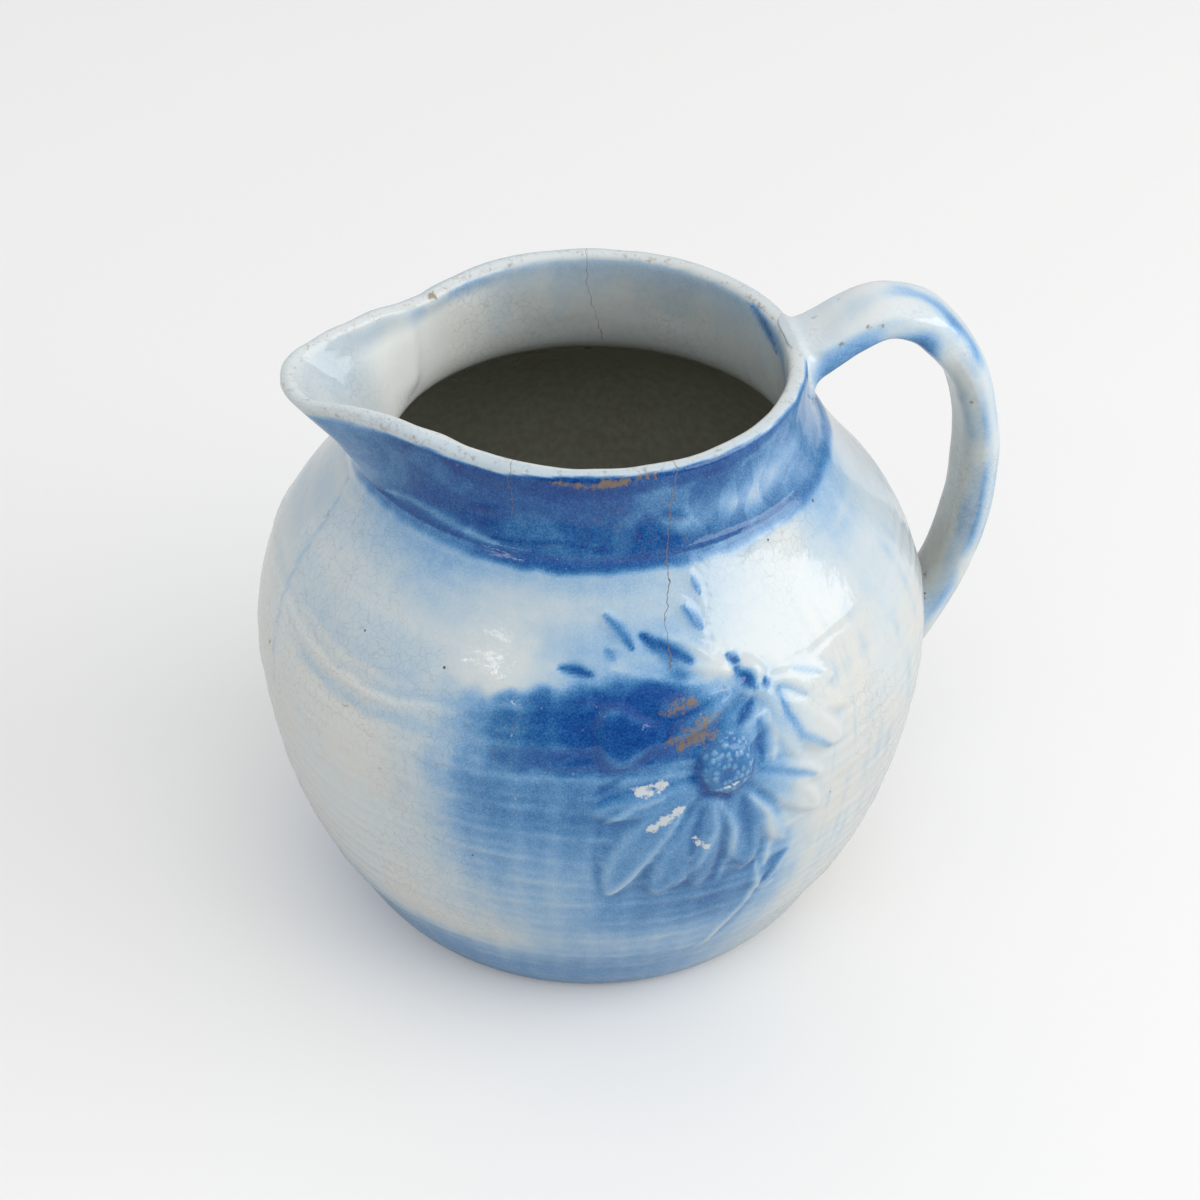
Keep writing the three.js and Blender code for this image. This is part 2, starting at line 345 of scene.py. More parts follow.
@dataclass
class WallField:
    """A face of the wall unrolled, on which relief and glaze are drawn.

    The drawing is of the near side; where it is mirrored, the far side repeats it.
    """

    azimuth: np.ndarray
    height: np.ndarray
    radius: np.ndarray
    arc: np.ndarray
    place: np.ndarray
    mirrored: bool = True

    def __post_init__(self) -> None:
        """Folds the far side onto the near one."""
        self.near = -abs(self.azimuth) if self.mirrored else self.azimuth
        order = np.argsort(self.height[0])
        self.heights, self.arcs = self.height[0][order], self.arc[0][order]

    def flat(self, middle: float, point: Point | None = None) -> tuple:
        """Millimetres on the face unrolled about a meridian.

        Args:
            middle: azimuth of the meridian.
            point: a place as azimuth and height, or None for every point of the field.

        Returns:
            Distance along the girth and distance up the wall.
        """
        if point is None:
            return np.radians(self.near - middle) * self.radius, self.arc
        arc = float(np.interp(point[1], self.heights, self.arcs))
        radius = float(np.interp(arc, self.arc[0], self.radius[0]))
        return math.radians(point[0] - middle) * radius, arc

    def from_path(self, path: tuple[Point, ...]) -> tuple[np.ndarray, np.ndarray]:
        """Measures every point against a path of places.

        Args:
            path: the places, as azimuth and height.

        Returns:
            Distance from the path in millimetres, and the share of its length run there.
        """
        middle = path[len(path) // 2][0]
        x, y = self.flat(middle)
        corners = [self.flat(middle, p) for p in path]
        if len(corners) == 1:
            return np.hypot(x - corners[0][0], y - corners[0][1]), np.full(x.shape, 0.5)
        best, share, before = np.full(x.shape, np.inf), np.zeros(x.shape), 0.0
        for (ax, ay), (bx, by) in zip(corners, corners[1:]):
            run, climb = bx - ax, by - ay
            length = math.hypot(run, climb)
            t = np.clip(((x - ax) * run + (y - ay) * climb) / length**2, 0, 1)
            off = np.hypot(x - ax - t * run, y - ay - t * climb)
            share = np.where(off < best, before + t * length, share)
            best = np.minimum(best, off)
            before += length
        return best, share / before

    def strokes(self, strokes: tuple[Stroke, ...]) -> np.ndarray:
        """Adds up soft strokes.

        Args:
            strokes: the strokes.

        Returns:
            Their summed strength at every point.
        """
        total = np.zeros(self.near.shape)
        for stroke in strokes:
            total += stroke.strength * stroke.bell(self)
        return total

    def cuts(self, strokes: tuple[Stroke, ...]) -> np.ndarray:
        """Finds how strongly strokes are cut into the relief or raised on it.

        Args:
            strokes: the strokes.

        Returns:
            The strongest one's share at every point, at most 1.
        """
        best = np.zeros(self.near.shape)
        for stroke in strokes:
            best = np.maximum(best, stroke.cut * stroke.bell(self))
        return best

    def sprays(self, sprays: tuple[Spray, ...], seed: int) -> np.ndarray:
        """Adds up soft fields with ragged edges.

        Args:
            sprays: the fields.
            seed: which raggedness.

        Returns:
            Their summed strength at every point.
        """
        wander = ripples(self.place, (6, 22), seed)
        total = np.zeros(self.near.shape)
        for spray in sprays:
            side = self.near + 0.8 * spray.ragged * wander
            up = self.height + spray.ragged * wander
            inside = smoothstep(side, spray.west - spray.side_blur, spray.west + spray.side_blur)
            inside *= 1 - smoothstep(side, spray.east - spray.side_blur, spray.east + spray.side_blur)
            inside *= smoothstep(up, spray.low - spray.low_blur, spray.low + spray.low_blur)
            inside *= 1 - smoothstep(up, spray.high - spray.high_blur, spray.high + spray.high_blur)
            total += spray.strength * inside
        return total


@dataclass(frozen=True)
class Daisy:
    """A moulded daisy: a seeded disc and a fan of petals."""

    middle: Point
    radius: float
    petals: tuple[Petal, ...]
    pits: tuple[tuple[float, float, float], ...] = ()
    seeds: int = 24
    disc_height: float = 3.1
    seed_height: float = 0.8
    seed_radius: float = 1.45
    seeded_share: float = 0.88
    pit_depth: float = 1.7
    edge: float = 1.7
    widest: float = 0.66

    def petal_height(self, field: WallField, petal: Petal) -> np.ndarray:
        """Height of one petal over the belly.

        Args:
            field: the face that it lies on.
            petal: which petal.

        Returns:
            Millimetres at every point of the field.
        """
        x, y = field.flat(self.middle[0])
        bx, by = field.flat(self.middle[0], self.middle)
        tx, ty = field.flat(self.middle[0], petal.tip)
        length = math.hypot(tx - bx, ty - by)
        ex, ey = (tx - bx) / length, (ty - by) / length
        t = ((x - bx) * ex + (y - by) * ey) / length
        across = -(x - bx) * ey + (y - by) * ex
        across = across - petal.curl * length * 4 * t * (1 - t)
        blade = 0.42 + 0.58 * smoothstep(t, 0.05, self.widest)
        end = np.sqrt(np.clip(1 - ((t - self.widest) / (1 - self.widest)) ** 2, 0, 1))
        half = petal.width / 2 * np.where(t < self.widest, blade, end)
        depth = half - abs(across)
        rolled = smoothstep(depth, -0.25, self.edge)
        hollow = smoothstep(depth, 0.9, max(0.42 * petal.width, 1.6))
        swell = 0.72 + 0.28 * smoothstep(t, 0.1, 0.7) - 0.18 * smoothstep(t, 0.8, 1.0)
        shown = smoothstep(t, -0.02, 0.06)
        return petal.height * rolled * (1 - petal.dish * hollow) * swell * shown

    def disc(self, field: WallField) -> np.ndarray:
        """Raises the disc with its seeds in a spiral.

        Args:
            field: the face that it lies on.

        Returns:
            Its height in millimetres at every point of the field.
        """
        x, y = field.flat(self.middle[0])
        bx, by = field.flat(self.middle[0], self.middle)
        off = np.hypot(x - bx, y - by) / self.radius
        dome = self.disc_height * np.sqrt(np.clip(1 - off**4, 0, 1)) * smoothstep(1 - off, -0.05, 0.15)
        bumps = np.zeros(x.shape)
        golden = math.pi * (3 - math.sqrt(5))
        for k in range(self.seeds):
            out = self.radius * self.seeded_share * math.sqrt((k + 0.5) / self.seeds)
            sx, sy = bx + out * math.cos(golden * k), by + out * math.sin(golden * k)
            near = np.clip(1 - np.hypot(x - sx, y - sy) ** 2 / self.seed_radius**2, 0, 1)
            bumps = np.maximum(bumps, near)
        height = dome + (self.seed_height * (bumps - 0.5) * (off < 0.98) if self.seeds else 0.0)
        for azimuth, z, size in self.pits:
            px, py = field.flat(self.middle[0], (azimuth, z))
            height = height - self.pit_depth * bell(np.hypot(x - px, y - py), size) * (off < 1.3)
        return np.maximum(height, 0)

    def relief(self, field: WallField) -> np.ndarray:
        """Raises the whole daisy.

        Args:
            field: the face that it lies on.

        Returns:
            Its height in millimetres at every point of the field.
        """
        total = np.zeros(field.near.shape)
        for petal in self.petals:
            total = np.maximum(total, self.petal_height(field, petal))
        return np.maximum(total, self.disc(field))


LOWER_DAISY = Daisy(
    middle=(-80.3, 96.0),
    radius=8.2,
    petals=(
        Petal((-102.5, 87.0), 8.5, curl=0.05),
        Petal((-99.6, 57.5), 12.0, curl=-0.13),
        Petal((-91.8, 56.5), 11.5, curl=-0.02),
        Petal((-84.6, 56.5), 7.0, 1.3),
        Petal((-75.8, 59.0), 10.5, 1.5, curl=0.02),
        Petal((-68.4, 64.0), 6.5, 1.5),
        Petal((-61.5, 70.5), 9.0, 1.5, curl=0.04),
        Petal((-61.5, 82.5), 7.0, 1.4),
        Petal((-71.8, 107.0), 7.0, 1.5, curl=0.03),
    ),
)

UPPER_DAISY = Daisy(
    middle=(-73.4, 114.6),
    radius=4.8,
    petals=(
        Petal((-66.8, 91.0), 5.5, 1.3),
        Petal((-57.5, 90.0), 10.5, 1.8, 0.15, -0.05),
        Petal((-55.6, 98.5), 7.0, 1.4),
        Petal((-56.5, 107.0), 7.0, 1.3),
        Petal((-91.0, 112.0), 5.5, 1.4, 0.1),
        Petal((-90.4, 104.4), 6.0, 1.5, 0.1),
        Petal((-91.5, 126.5), 8.5, 1.2, 0.5),
    ),
    pits=((-75.2, 119.3, 1.5), (-74.4, 114.8, 1.9), (-70.9, 112.5, 1.4)),
    seeds=0,
    disc_height=1.9,
)

# A leaf is a petal that starts at its own stalk: azimuth and height of the stalk, then the blade
LEAVES: tuple[tuple[Point, Petal], ...] = (
    ((-90.6, 106.5), Petal((-102.0, 106.3), 17.5, 1.6, 0.12)),
    ((-93.5, 123.0), Petal((-100.4, 132.5), 3.8, 1.2, 0.1)),
    ((-79.6, 124.5), Petal((-83.8, 132.8), 4.2, 1.2, 0.1)),
    ((-66.6, 61.0), Petal((-73.0, 48.5), 7.0, 1.3, 0.5)),
    ((-78.4, 131.0), Petal((-80.4, 138.2), 3.2, 0.9, 0.1)),
)


@dataclass(frozen=True)
class BellyDecor:
    """Where the belly's glaze is blue, pooled, worn or bare, as azimuth and height.

    The ribbed ground ends at the line under the shoulder.
    """

    shoulder_line: Rows = (
        (-180, 108), (-170, 107.2), (-160, 106), (-152, 104.7), (-144, 104.5), (-136, 106),
        (-126.7, 108.4), (-118, 112), (-90, 115.8), (0, 116),
    )
    sprays: tuple[Spray, ...] = (
        Spray(-117, -86, 99.0, 115.6, 2.2, side_blur=7, low_blur=1.8, high_blur=1.8),
        Spray(-107, -84, 103.5, 117, 1.5, side_blur=4, low_blur=2.5, high_blur=1.6),
        Spray(-125, -72, 54, 114.5, 1.05, side_blur=7, low_blur=30, high_blur=3),
        Spray(-133, -72, 58, 113, 0.45, side_blur=13, low_blur=30, high_blur=4),
        Spray(-122.5, -98, 80, 101, 0.55, side_blur=4, low_blur=5, high_blur=2),
        Spray(-104, -72, 42, 101, 0.46, side_blur=6, low_blur=8, high_blur=3),
        Spray(-99, -76, 40, 66, 0.5, side_blur=6, low_blur=9, high_blur=8),
        Spray(-86, -65, 38, 69, 0.6, side_blur=4, low_blur=10, high_blur=6),
        Spray(-113, -68, 20, 50, 0.65, side_blur=9, low_blur=10, high_blur=12),
        Spray(-90, -77, 103, 116, 0.9, side_blur=5, low_blur=4, high_blur=3),
        Spray(-105, -84, 113, 119.5, 1.2, side_blur=4, low_blur=2, high_blur=3),
        Spray(-113, -84, 116, 128, 0.55, side_blur=6, low_blur=2, high_blur=6),
        Spray(-104, -76, 120, 136, 0.25, side_blur=8, low_blur=4, high_blur=6),
        Spray(-164, -134, 101, 114, 0.18, side_blur=6, low_blur=3, high_blur=6),
        Spray(-215, -80, -5, 24, 1.25, side_blur=16, low_blur=1, high_blur=9),
        Spray(-215, -50, -5, 22, 0.35, side_blur=16, low_blur=1, high_blur=12),
        Spray(-181, 5, 140.2, 150, 1.4, side_blur=4, low_blur=1.2, high_blur=1, ragged=0.3),
        Spray(-128, -84, 140.2, 150, 2.2, side_blur=8, low_blur=1.3, high_blur=1, ragged=0.3),
        Spray(-164, -130, 132, 150, 0.4, side_blur=10, low_blur=6, high_blur=1, ragged=1.2),
        Spray(-181, -86, 136.9, 150, 0.5, side_blur=8, low_blur=4.0, high_blur=1, ragged=0.8),
        Spray(-86, 5, 139.2, 150, 0.6, side_blur=8, low_blur=1.8, high_blur=1, ragged=0.4),
        Spray(-150, -66, 128, 150, 0.3, side_blur=14, low_blur=10, high_blur=1),
        Spray(-181, -128, 108, 136, 0.2, side_blur=8, low_blur=5, high_blur=5),
        Spray(-46, 5, 108, 150, 0.16, side_blur=10, low_blur=20, high_blur=5),
        Spray(-46, -20, 130, 150, 0.6, side_blur=7, low_blur=8, high_blur=5),
    )
    pooled: tuple[Stroke, ...] = (
        Stroke(((-99.6, 131.2), (-97.0, 128.5), (-94.5, 124.5)), 1.15, 2.6),
        Stroke(((-92.3, 126.7), (-87.5, 123.1), (-83.8, 120.6)), 1.9, 3.2),
        Stroke(((-83.2, 131.3), (-81.5, 128.8), (-80.1, 126.3)), 1.2, 2.8),
        Stroke(((-79.9, 137.0), (-78.9, 133.3)), 0.8, 2.2),
        Stroke(((-108.1, 120.9), (-105.2, 120.6), (-102.4, 119.7)), 1.3, 2.8),
        Stroke(((-102.2, 116.6), (-100.6, 114.6)), 1.6, 1.8),
        Stroke(((-99.5, 124.5), (-98.2, 122.5)), 1.2, 0.9, 0.3),
        Stroke(((-101.0, 114.0), (-101.4, 105.0), (-99.9, 101.0)), 0.8, 1.3),
        Stroke(((-99.9, 101.0), (-97.3, 98.3), (-95.2, 98.0)), 0.8, 0.9),
        Stroke(((-92.1, 110.0), (-92.3, 105.4)), 0.9, 1.0),
        Stroke(((-73.7, 105.0), (-73.7, 99.9), (-73.6, 95.2)), 1.7, 1.3),
        Stroke(((-74.0, 109.6), (-76.8, 106.0)), 1.4, 1.6),
        Stroke(((-76.2, 120.0), (-74.9, 118.4)), 1.4, 3.2, 0.0),
        Stroke(((-75.6, 117.0), (-74.4, 114.6), (-73.2, 112.4)), 1.8, 4.2, 0.0),
        Stroke(((-70.9, 113.4), (-70.8, 111.6)), 1.2, 3.0, 0.0),
        Stroke(((-84.6, 99.4), (-85.6, 95.0), (-84.0, 90.0), (-80.0, 87.2)), 1.5, 1.5, 0.8),
        Stroke(((-68.9, 110.2), (-68.2, 104.1), (-66.0, 97.2), (-60.4, 90.2)), 1.2, 1.1),
        Stroke(((-68.6, 110.9), (-66.1, 109.1), (-63.5, 106.0)), 0.9, 0.7),
        Stroke(((-65.1, 113.1), (-59.3, 109.4)), 0.9, 0.6),
        Stroke(((-74.6, 92.6), (-70.4, 90.2), (-63.5, 83.7)), 1.3, 0.9),
        Stroke(((-77.6, 85.7), (-76.3, 76.0), (-75.2, 67.0)), 2.2, 0.7),
        Stroke(((-78.4, 64.4), (-75.6, 59.7), (-73.3, 60.0)), 0.8, 0.9),
        Stroke(((-84.5, 86.1), (-85.4, 77.8), (-86.0, 70.7)), 1.2, 0.9),
        Stroke(((-101.7, 92.4), (-99.6, 94.6), (-97.5, 96.6)), 0.9, 1.1),
        Stroke(((-100.8, 84.6), (-101.9, 72.9), (-100.9, 60.2)), 0.9, 0.45, 0.5),
        Stroke(((-67.7, 59.6), (-70.0, 56.0), (-71.5, 50.2)), 1.9, 1.5),
        Stroke(((-71.5, 48.0), (-74.5, 37.0), (-78.0, 27.0)), 1.5, 0.7, 0.5),
        Stroke(((-106.9, 113.5),), 1.4, 1.0, 0.0),
        Stroke(((-113.0, 113.3),), 1.6, 1.0, 0.0),
        Stroke(((-119.3, 106.1),), 1.6, 0.9, 0.0),
        Stroke(((-112.2, 106.5),), 1.8, 0.9, 0.0),
        Stroke(((-105.5, 106.8),), 1.8, 0.9, 0.0),
    )
    thin_glaze_and_highlights: tuple[Stroke, ...] = (
        Stroke(((-71.9, 106.0), (-71.0, 99.7), (-71.6, 93.7)), 0.9, 0.7),
        Stroke(((-71.4, 82.9), (-67.6, 68.1)), 1.1, 0.5),
        Stroke(((-76.2, 85.7), (-73.0, 78.8), (-71.4, 67.8), (-71.8, 57.4)), 1.5, 0.85),
        Stroke(((-81.9, 88.1), (-78.8, 76.3), (-79.3, 67.3), (-80.5, 57.9)), 1.2, 0.6),
        Stroke(((-82.7, 88.6), (-82.0, 78.0), (-83.7, 69.3), (-88.2, 58.4)), 1.2, 0.5),
        Stroke(((-87.7, 85.0), (-91.4, 74.4), (-95.8, 64.1), (-99.5, 57.8)), 1.4, 0.65),
        Stroke(((-91.0, 90.6), (-96.1, 88.3), (-100.1, 83.6)), 1.1, 0.5),
        Stroke(((-73.5, 60.0), (-72.6, 51.0), (-73.5, 43.0), (-77.0, 33.0), (-80.5, 23.0)), 1.1, 0.9),
        Stroke(((-71.3, 47.0), (-68.5, 47.9)), 0.9, 0.6),
        Stroke(((-66.0, 112.0), (-60.5, 94.0)), 3.2, 0.6, 0.3),
        Stroke(((-98.5, 121.0), (-90.5, 118.4), (-84.5, 116.6)), 1.3, 0.6, 0.3),
        # lighter where a glint falls above the upper daisy: partly thin glaze on the crest, partly a painted
        # glint
        Stroke(((-80.4, 117.0), (-77.2, 117.8)), 3.0, 0.9, 0.1),
    )
    worn: tuple[Stroke, ...] = (
        Stroke(((-90.0, 111.4), (-86.5, 112.6), (-84.0, 112.6)), 2.6, 0.82),
        Stroke(((-80.6, 109.2), (-85.6, 106.0), (-90.2, 104.6)), 2.6, 0.8),
        Stroke(((-81.0, 105.0), (-86.0, 103.4)), 2.2, 0.74),
        Stroke(((-177.2, 128.0), (-176.6, 125.0)), 0.8, 0.9),
        Stroke(((-174.7, 116.0), (-174.2, 113.5)), 0.5, 1.2),
        Stroke(((-172.7, 94.5), (-173.0, 92.5)), 0.6, 1.2),
        Stroke(((-173.5, 87.0), (-173.7, 85.8)), 0.6, 1.2),
        Stroke(((-144.2, 57.8),), 0.5, 1.2),
        Stroke(((-147.0, 98.6),), 0.4, 1.1),
        Stroke(((-87.6, 102.6),), 1.2, 1.15),
        Stroke(((-78.5, 113.9),), 1.3, 0.7),
        Stroke(((-139.3, 85.7),), 0.9, 1.0),
    )
    seam: Stroke = Stroke(((-178.0, 136.0), (-175.0, 117.0), (-171.5, 98.0), (-170.0, 84.0)), 0.75, 0.3)
    bare: tuple[Stroke, ...] = (
        Stroke(((-94.9, 92.9), (-92.5, 93.0), (-90.3, 94.2)), 1.7, 0.85, taper=0.3),
        Stroke(((-93.2, 81.2), (-90.6, 83.4), (-88.0, 86.6)), 1.7, 0.85, taper=0.3),
        Stroke(((-85.5, 76.0), (-84.6, 74.2)), 1.2, 0.9, taper=0.2),
        Stroke(((-83.6, 72.4),), 0.9, 0.9),
        Stroke(((-81.9, 91.3), (-78.7, 92.1)), 0.7, 0.9),
    )


@dataclass(frozen=True)
class CollarDecor:
    """Where the collar's glaze is thick, thin or rubbed, and where lighter strokes paint its highlights and
    reflections, as azimuth and height before the pull.
    """

    girth: Rows = (
        (-180, 0.28), (-168, 0.42), (-157, 0.78), (-147, 1), (-76, 1), (-60, 0.82), (-42, 0.66),
        (-22, 0.5), (0, 0.4),
    )
    band: Rows = (
        (-180, 163), (-152, 161.2), (-143, 159), (-132, 155.8), (-121, 155.9), (-110, 157.3),
        (-90, 158.3), (-61, 158.9), (-44, 160.6), (0, 162),
    )
    rim: Rows = (
        (-180, 160.2), (-168, 160.4), (-158, 160.6), (-148, 161.0), (-139, 161.0), (-131, 160.7),
        (-125, 161.1), (-118, 161.9), (-108, 162.5), (-98, 162.7), (-60, 162.7), (0, 162.5),
    )
    pooled: tuple[Stroke, ...] = (
        Stroke(((-172, 138.5), (-163.8, 141.2), (-157.7, 143.2)), 1.5, 1.3),
        Stroke(((-134.6, 149.9), (-127.2, 151.0)), 0.7, 1.4),
        Stroke(((-127.0, 144.4), (-118.6, 145.0), (-110.1, 145.9), (-104.0, 145.0)), 0.9, 1.2),
        Stroke(((-101.2, 144.6), (-97.5, 144.2)), 0.8, 1.0),
        Stroke(((-84.8, 151.6), (-81.3, 150.8), (-78.0, 149.6)), 1.3, 1.3),
        Stroke(((-86.0, 145.6), (-79.5, 145.4)), 0.8, 0.7),
        Stroke(((-143.4, 160.6), (-132.3, 158.9), (-121.0, 160.0)), 0.8, 1.3),
    )
    thin_glaze_and_highlights: tuple[Stroke, ...] = (
        # partly thinner glaze, partly a painted highlight line along the lower collar on the left
        Stroke(
            ((-160.0, 143.6), (-152.0, 145.6), (-144.5, 145.2), (-134.7, 144.0), (-125.6, 143.2)),
            1.4, 2.0,
        ),
        # painted reflection of the bright floor in the collar's right side, laid as thinner blue
        Stroke(((-80.0, 148.5), (-66.0, 149.0), (-52.0, 150.5), (-38.0, 152.0)), 5.0, 2.0, taper=0.2),
    )
    # painted highlight: lighter strokes under the rim on the right
    lit: tuple[Stroke, ...] = (
        Stroke(((-60.0, 158.2), (-50.0, 160.2), (-38.0, 161.5)), 0.8, 1.5),
    )
    worn: tuple[Stroke, ...] = (
        Stroke(((-113.0, 161.0), (-103.1, 160.7), (-94.0, 161.0)), 0.95, 0.92, taper=0.3),
        Stroke(((-99.5, 161.8), (-86.0, 162.0)), 1.3, 0.72, taper=0.3),
        Stroke(((-178.6, 162.9), (-176.5, 163.1)), 0.7, 0.5),
    )
    inner: tuple[Stroke, ...] = (
        Stroke(((22.0, 162.0), (13.3, 159.4), (4.0, 156.5)), 1.5, 1.9),
        Stroke(((14.0, 160.0), (-2.0, 158.0), (-10.0, 152.0)), 2.2, 0.9),
        Stroke(((139.0, 162.0), (144.0, 156.0)), 3.4, 0.35),
        Stroke(((156.0, 160.0), (164.0, 158.0), (174.0, 156.0)), 5.0, 0.16),
        Stroke(((126.0, 161.0), (112.0, 160.0)), 2.5, 0.25),
    )
    rubbed: tuple[Stroke, ...] = (
        Stroke(((133.5, 163.0),), 1.3, 1.2),
        Stroke(((26.0, 162.9), (8.0, 162.5)), 0.9, 0.4),
    )


@dataclass
class Crock:
    """The thrown body: belly and collar turned as one wall, then parted at the crease."""

    wall: Wall
    lip: Lip
    decor: BellyDecor
    collar_decor: CollarDecor
    column_steps: Rows = (
        (0, 1.9), (50, 1.9), (53, 0.6), (107, 0.6), (110, 0.9), (134, 0.9), (138, 1.0), (181, 1.0),
    )
    rib_pitch: float = 8.7
    rib_start: float = 78.4
    rib_height: float = 0.26
    uprights: int = 60
    upright_start: float = -114.3
    upright_height: float = 0.10
    ridge_height: float = 0.6
    valley_depth: float = 0.45
    shoulder_ridge: float = 0.42
    seam_depth: float = 0.2
    lean: float = 0.6
    pool_passes: int = 10
    thickest_glaze: float = 4.5
    foot_ring: Point = (55.0, 57.5)

    def __post_init__(self) -> None:
        """Samples the wall and spaces its columns, closest where the sprays are."""
        self.section = self.wall.section()
        self.crease, self.throat = self.section["crease"], self.section["throat"]
        self.top = int(np.argmax(self.section["z"]))
        fine = np.linspace(-180, 180, 7201)
        steps = np.array(self.column_steps, float)
        per_degree = 1 / np.interp(abs(fine), steps[:, 0], steps[:, 1])
        count = np.concatenate([[0], np.cumsum(per_degree[1:] * np.diff(fine))])
        self.columns = round(count[-1])
        self.azimuths = np.interp(np.arange(self.columns) / self.columns * count[-1], count, fine)

    def turn(self) -> bpy.types.Object:
        """Draws the wall's section edge by edge and spins it once round the axis.

        Returns:
            The turned wall, with its columns still evenly spaced.
        """
        r, z = self.section["r"] * MM, self.section["z"] * MM
        bpy.ops.object.select_all(action="DESELECT")
        bpy.ops.mesh.primitive_plane_add(size=2 * MM, location=(0, 0, 0))
        piece = bpy.context.active_object
        open_mesh()
        bpy.ops.mesh.merge(type="CENTER")
        close_mesh()
        piece.data.vertices[0].co = (r[0], 0, z[0])
        piece.data.vertices[0].select = True
        bpy.ops.object.mode_set(mode="EDIT")
        for k in range(1, len(r)):
            move = {"value": (r[k] - r[k - 1], 0, z[k] - z[k - 1])}
            bpy.ops.mesh.extrude_region_move(TRANSFORM_OT_translate=move)
        bpy.ops.mesh.select_all(action="SELECT")
        bpy.ops.mesh.spin(steps=self.columns, angle=2 * math.pi, center=(0, 0, 0), axis=(0, 0, 1))
        close_mesh()
        return piece

    def field(self, first: int, last: int, mirrored: bool = True) -> WallField:
        """A run of the wall's rows, unrolled.

        Args:
            first: the first row.
            last: the last row.
            mirrored: whether the far side repeats the near one.

        Returns:
            The face between the two rows.
        """
        rows = slice(first, last + 1)
        shape = (self.columns, last + 1 - first)
        azimuth = np.broadcast_to(self.azimuths[:, None], shape)
        r, z = (np.broadcast_to(self.section[k][None, rows], shape) for k in ("r", "z"))
        angle = np.radians(azimuth)
        place = np.stack([r * np.cos(angle), r * np.sin(angle), z], -1)
        arc = np.broadcast_to(self.section["arc"][None, rows], shape)
        return WallField(azimuth, z, r, arc, place, mirrored)

    def grid(self, field: WallField) -> tuple[np.ndarray, np.ndarray, np.ndarray]:
        """The pressed ground's pattern: level ribs round the belly, and faint uprights.

        Args:
            field: the belly's outer face.

        Returns:
            Three patterns from 0 to 1: level ribs, uprights, and the valleys between level ribs.
        """
        wander = 0.5 * ripples(field.place, (25, 70), 3) + 0.2 * ripples(field.place, (6, 14), 4)
        turn = 2 * math.pi * (field.height + wander - self.rib_start) / self.rib_pitch
        level = (0.5 + 0.5 * np.cos(turn)) ** 5 + 0.5 * (0.5 + 0.5 * np.cos(turn - 2.4)) ** 7
        turned = np.radians(field.near - self.upright_start) * self.uprights
        upright = 0.5 + 0.5 * np.cos(turned + 0.5 * wander)
        return level, upright, (0.5 - 0.5 * np.cos(turn + 0.9)) ** 6

    def ribs(self, field: WallField) -> np.ndarray:
        """Presses the ground, which ends under the shoulder.

        Args:
            field: the belly's outer face.

        Returns:
            Its height in millimetres at every point.
        """
        level, upright, _ = self.grid(field)
        wander = ripples(field.place, (25, 70), 7)
        strength = 0.6 + 0.4 * ripples(field.place, (14, 40), 5)
        ribbed = smoothstep(field.height, 12, 22) * (1 - smoothstep(self.above_shoulder(field), -1, 2))
        across = within(field.near, (-133, -122), (-60, -50))
        height = np.clip(strength, 0.2, 1.2) * level * self.rib_height
        height = height + self.upright_height * across * upright**2
        return height * ribbed + 0.02 * wander

    def above_shoulder(self, field: WallField) -> np.ndarray:
        """Millimetres above the line where the ribbed ground ends under the shoulder."""
        wander = 0.5 * ripples(field.place, (5, 16), 6)
        return field.height - (eased(self.decor.shoulder_line, 1, field.near) + wander)

    def moulded(self, field: WallField) -> np.ndarray:
        """Height in millimetres of the daisies and leaves before any stroke is cut into them.

        Args:
            field: the belly's outer face.

        Returns:
            The height at every point.
        """
        daisies = np.maximum(LOWER_DAISY.relief(field), 1.02 * UPPER_DAISY.relief(field))
        for stalk, blade in LEAVES:
            leaf = Daisy(stalk, 1.0, (blade,))
            daisies = np.maximum(daisies, leaf.petal_height(field, blade))
        return blurred(daisies, 1)

    def relief(self, field: WallField) -> np.ndarray:
        """Raises all that stands on the belly.

        Args:
            field: the belly's outer face.

        Returns:
            The height in millimetres at every point.
        """
        soft = self.moulded(field)
        ground = self.ribs(field) * (1 - smoothstep(soft, 0.1, 0.9))
        cuts = self.ridge_height * field.cuts(self.decor.thin_glaze_and_highlights)
        cuts = cuts - self.valley_depth * field.cuts(self.decor.pooled)
        soft = soft + blurred(cuts, 1)
        edge = self.above_shoulder(field)
        left = 1 - smoothstep(field.near, -138, -124)
        ridge = self.shoulder_ridge * bell(edge, 0.9) * (0.25 + 0.75 * left) * (soft < 0.2)
        waves = 0.09 * ripples(field.place, (22, 55), 8) + 0.02 * ripples(field.place, (5, 10), 9)
        waves = waves - self.seam_depth * self.decor.seam.bell(field) * (field.azimuth < 0)
        return soft + (ground + ridge + waves) * smoothstep(field.height, 1.5, 12)

    def settled(self, cobalt: np.ndarray) -> np.ndarray:
        """Keeps a depth of cobalt at or above none, and lets the thickest run off."""
        over = np.log1p(np.exp(2.5 * (cobalt - self.thickest_glaze))) / 2.5
        return np.maximum(cobalt - over, 0)

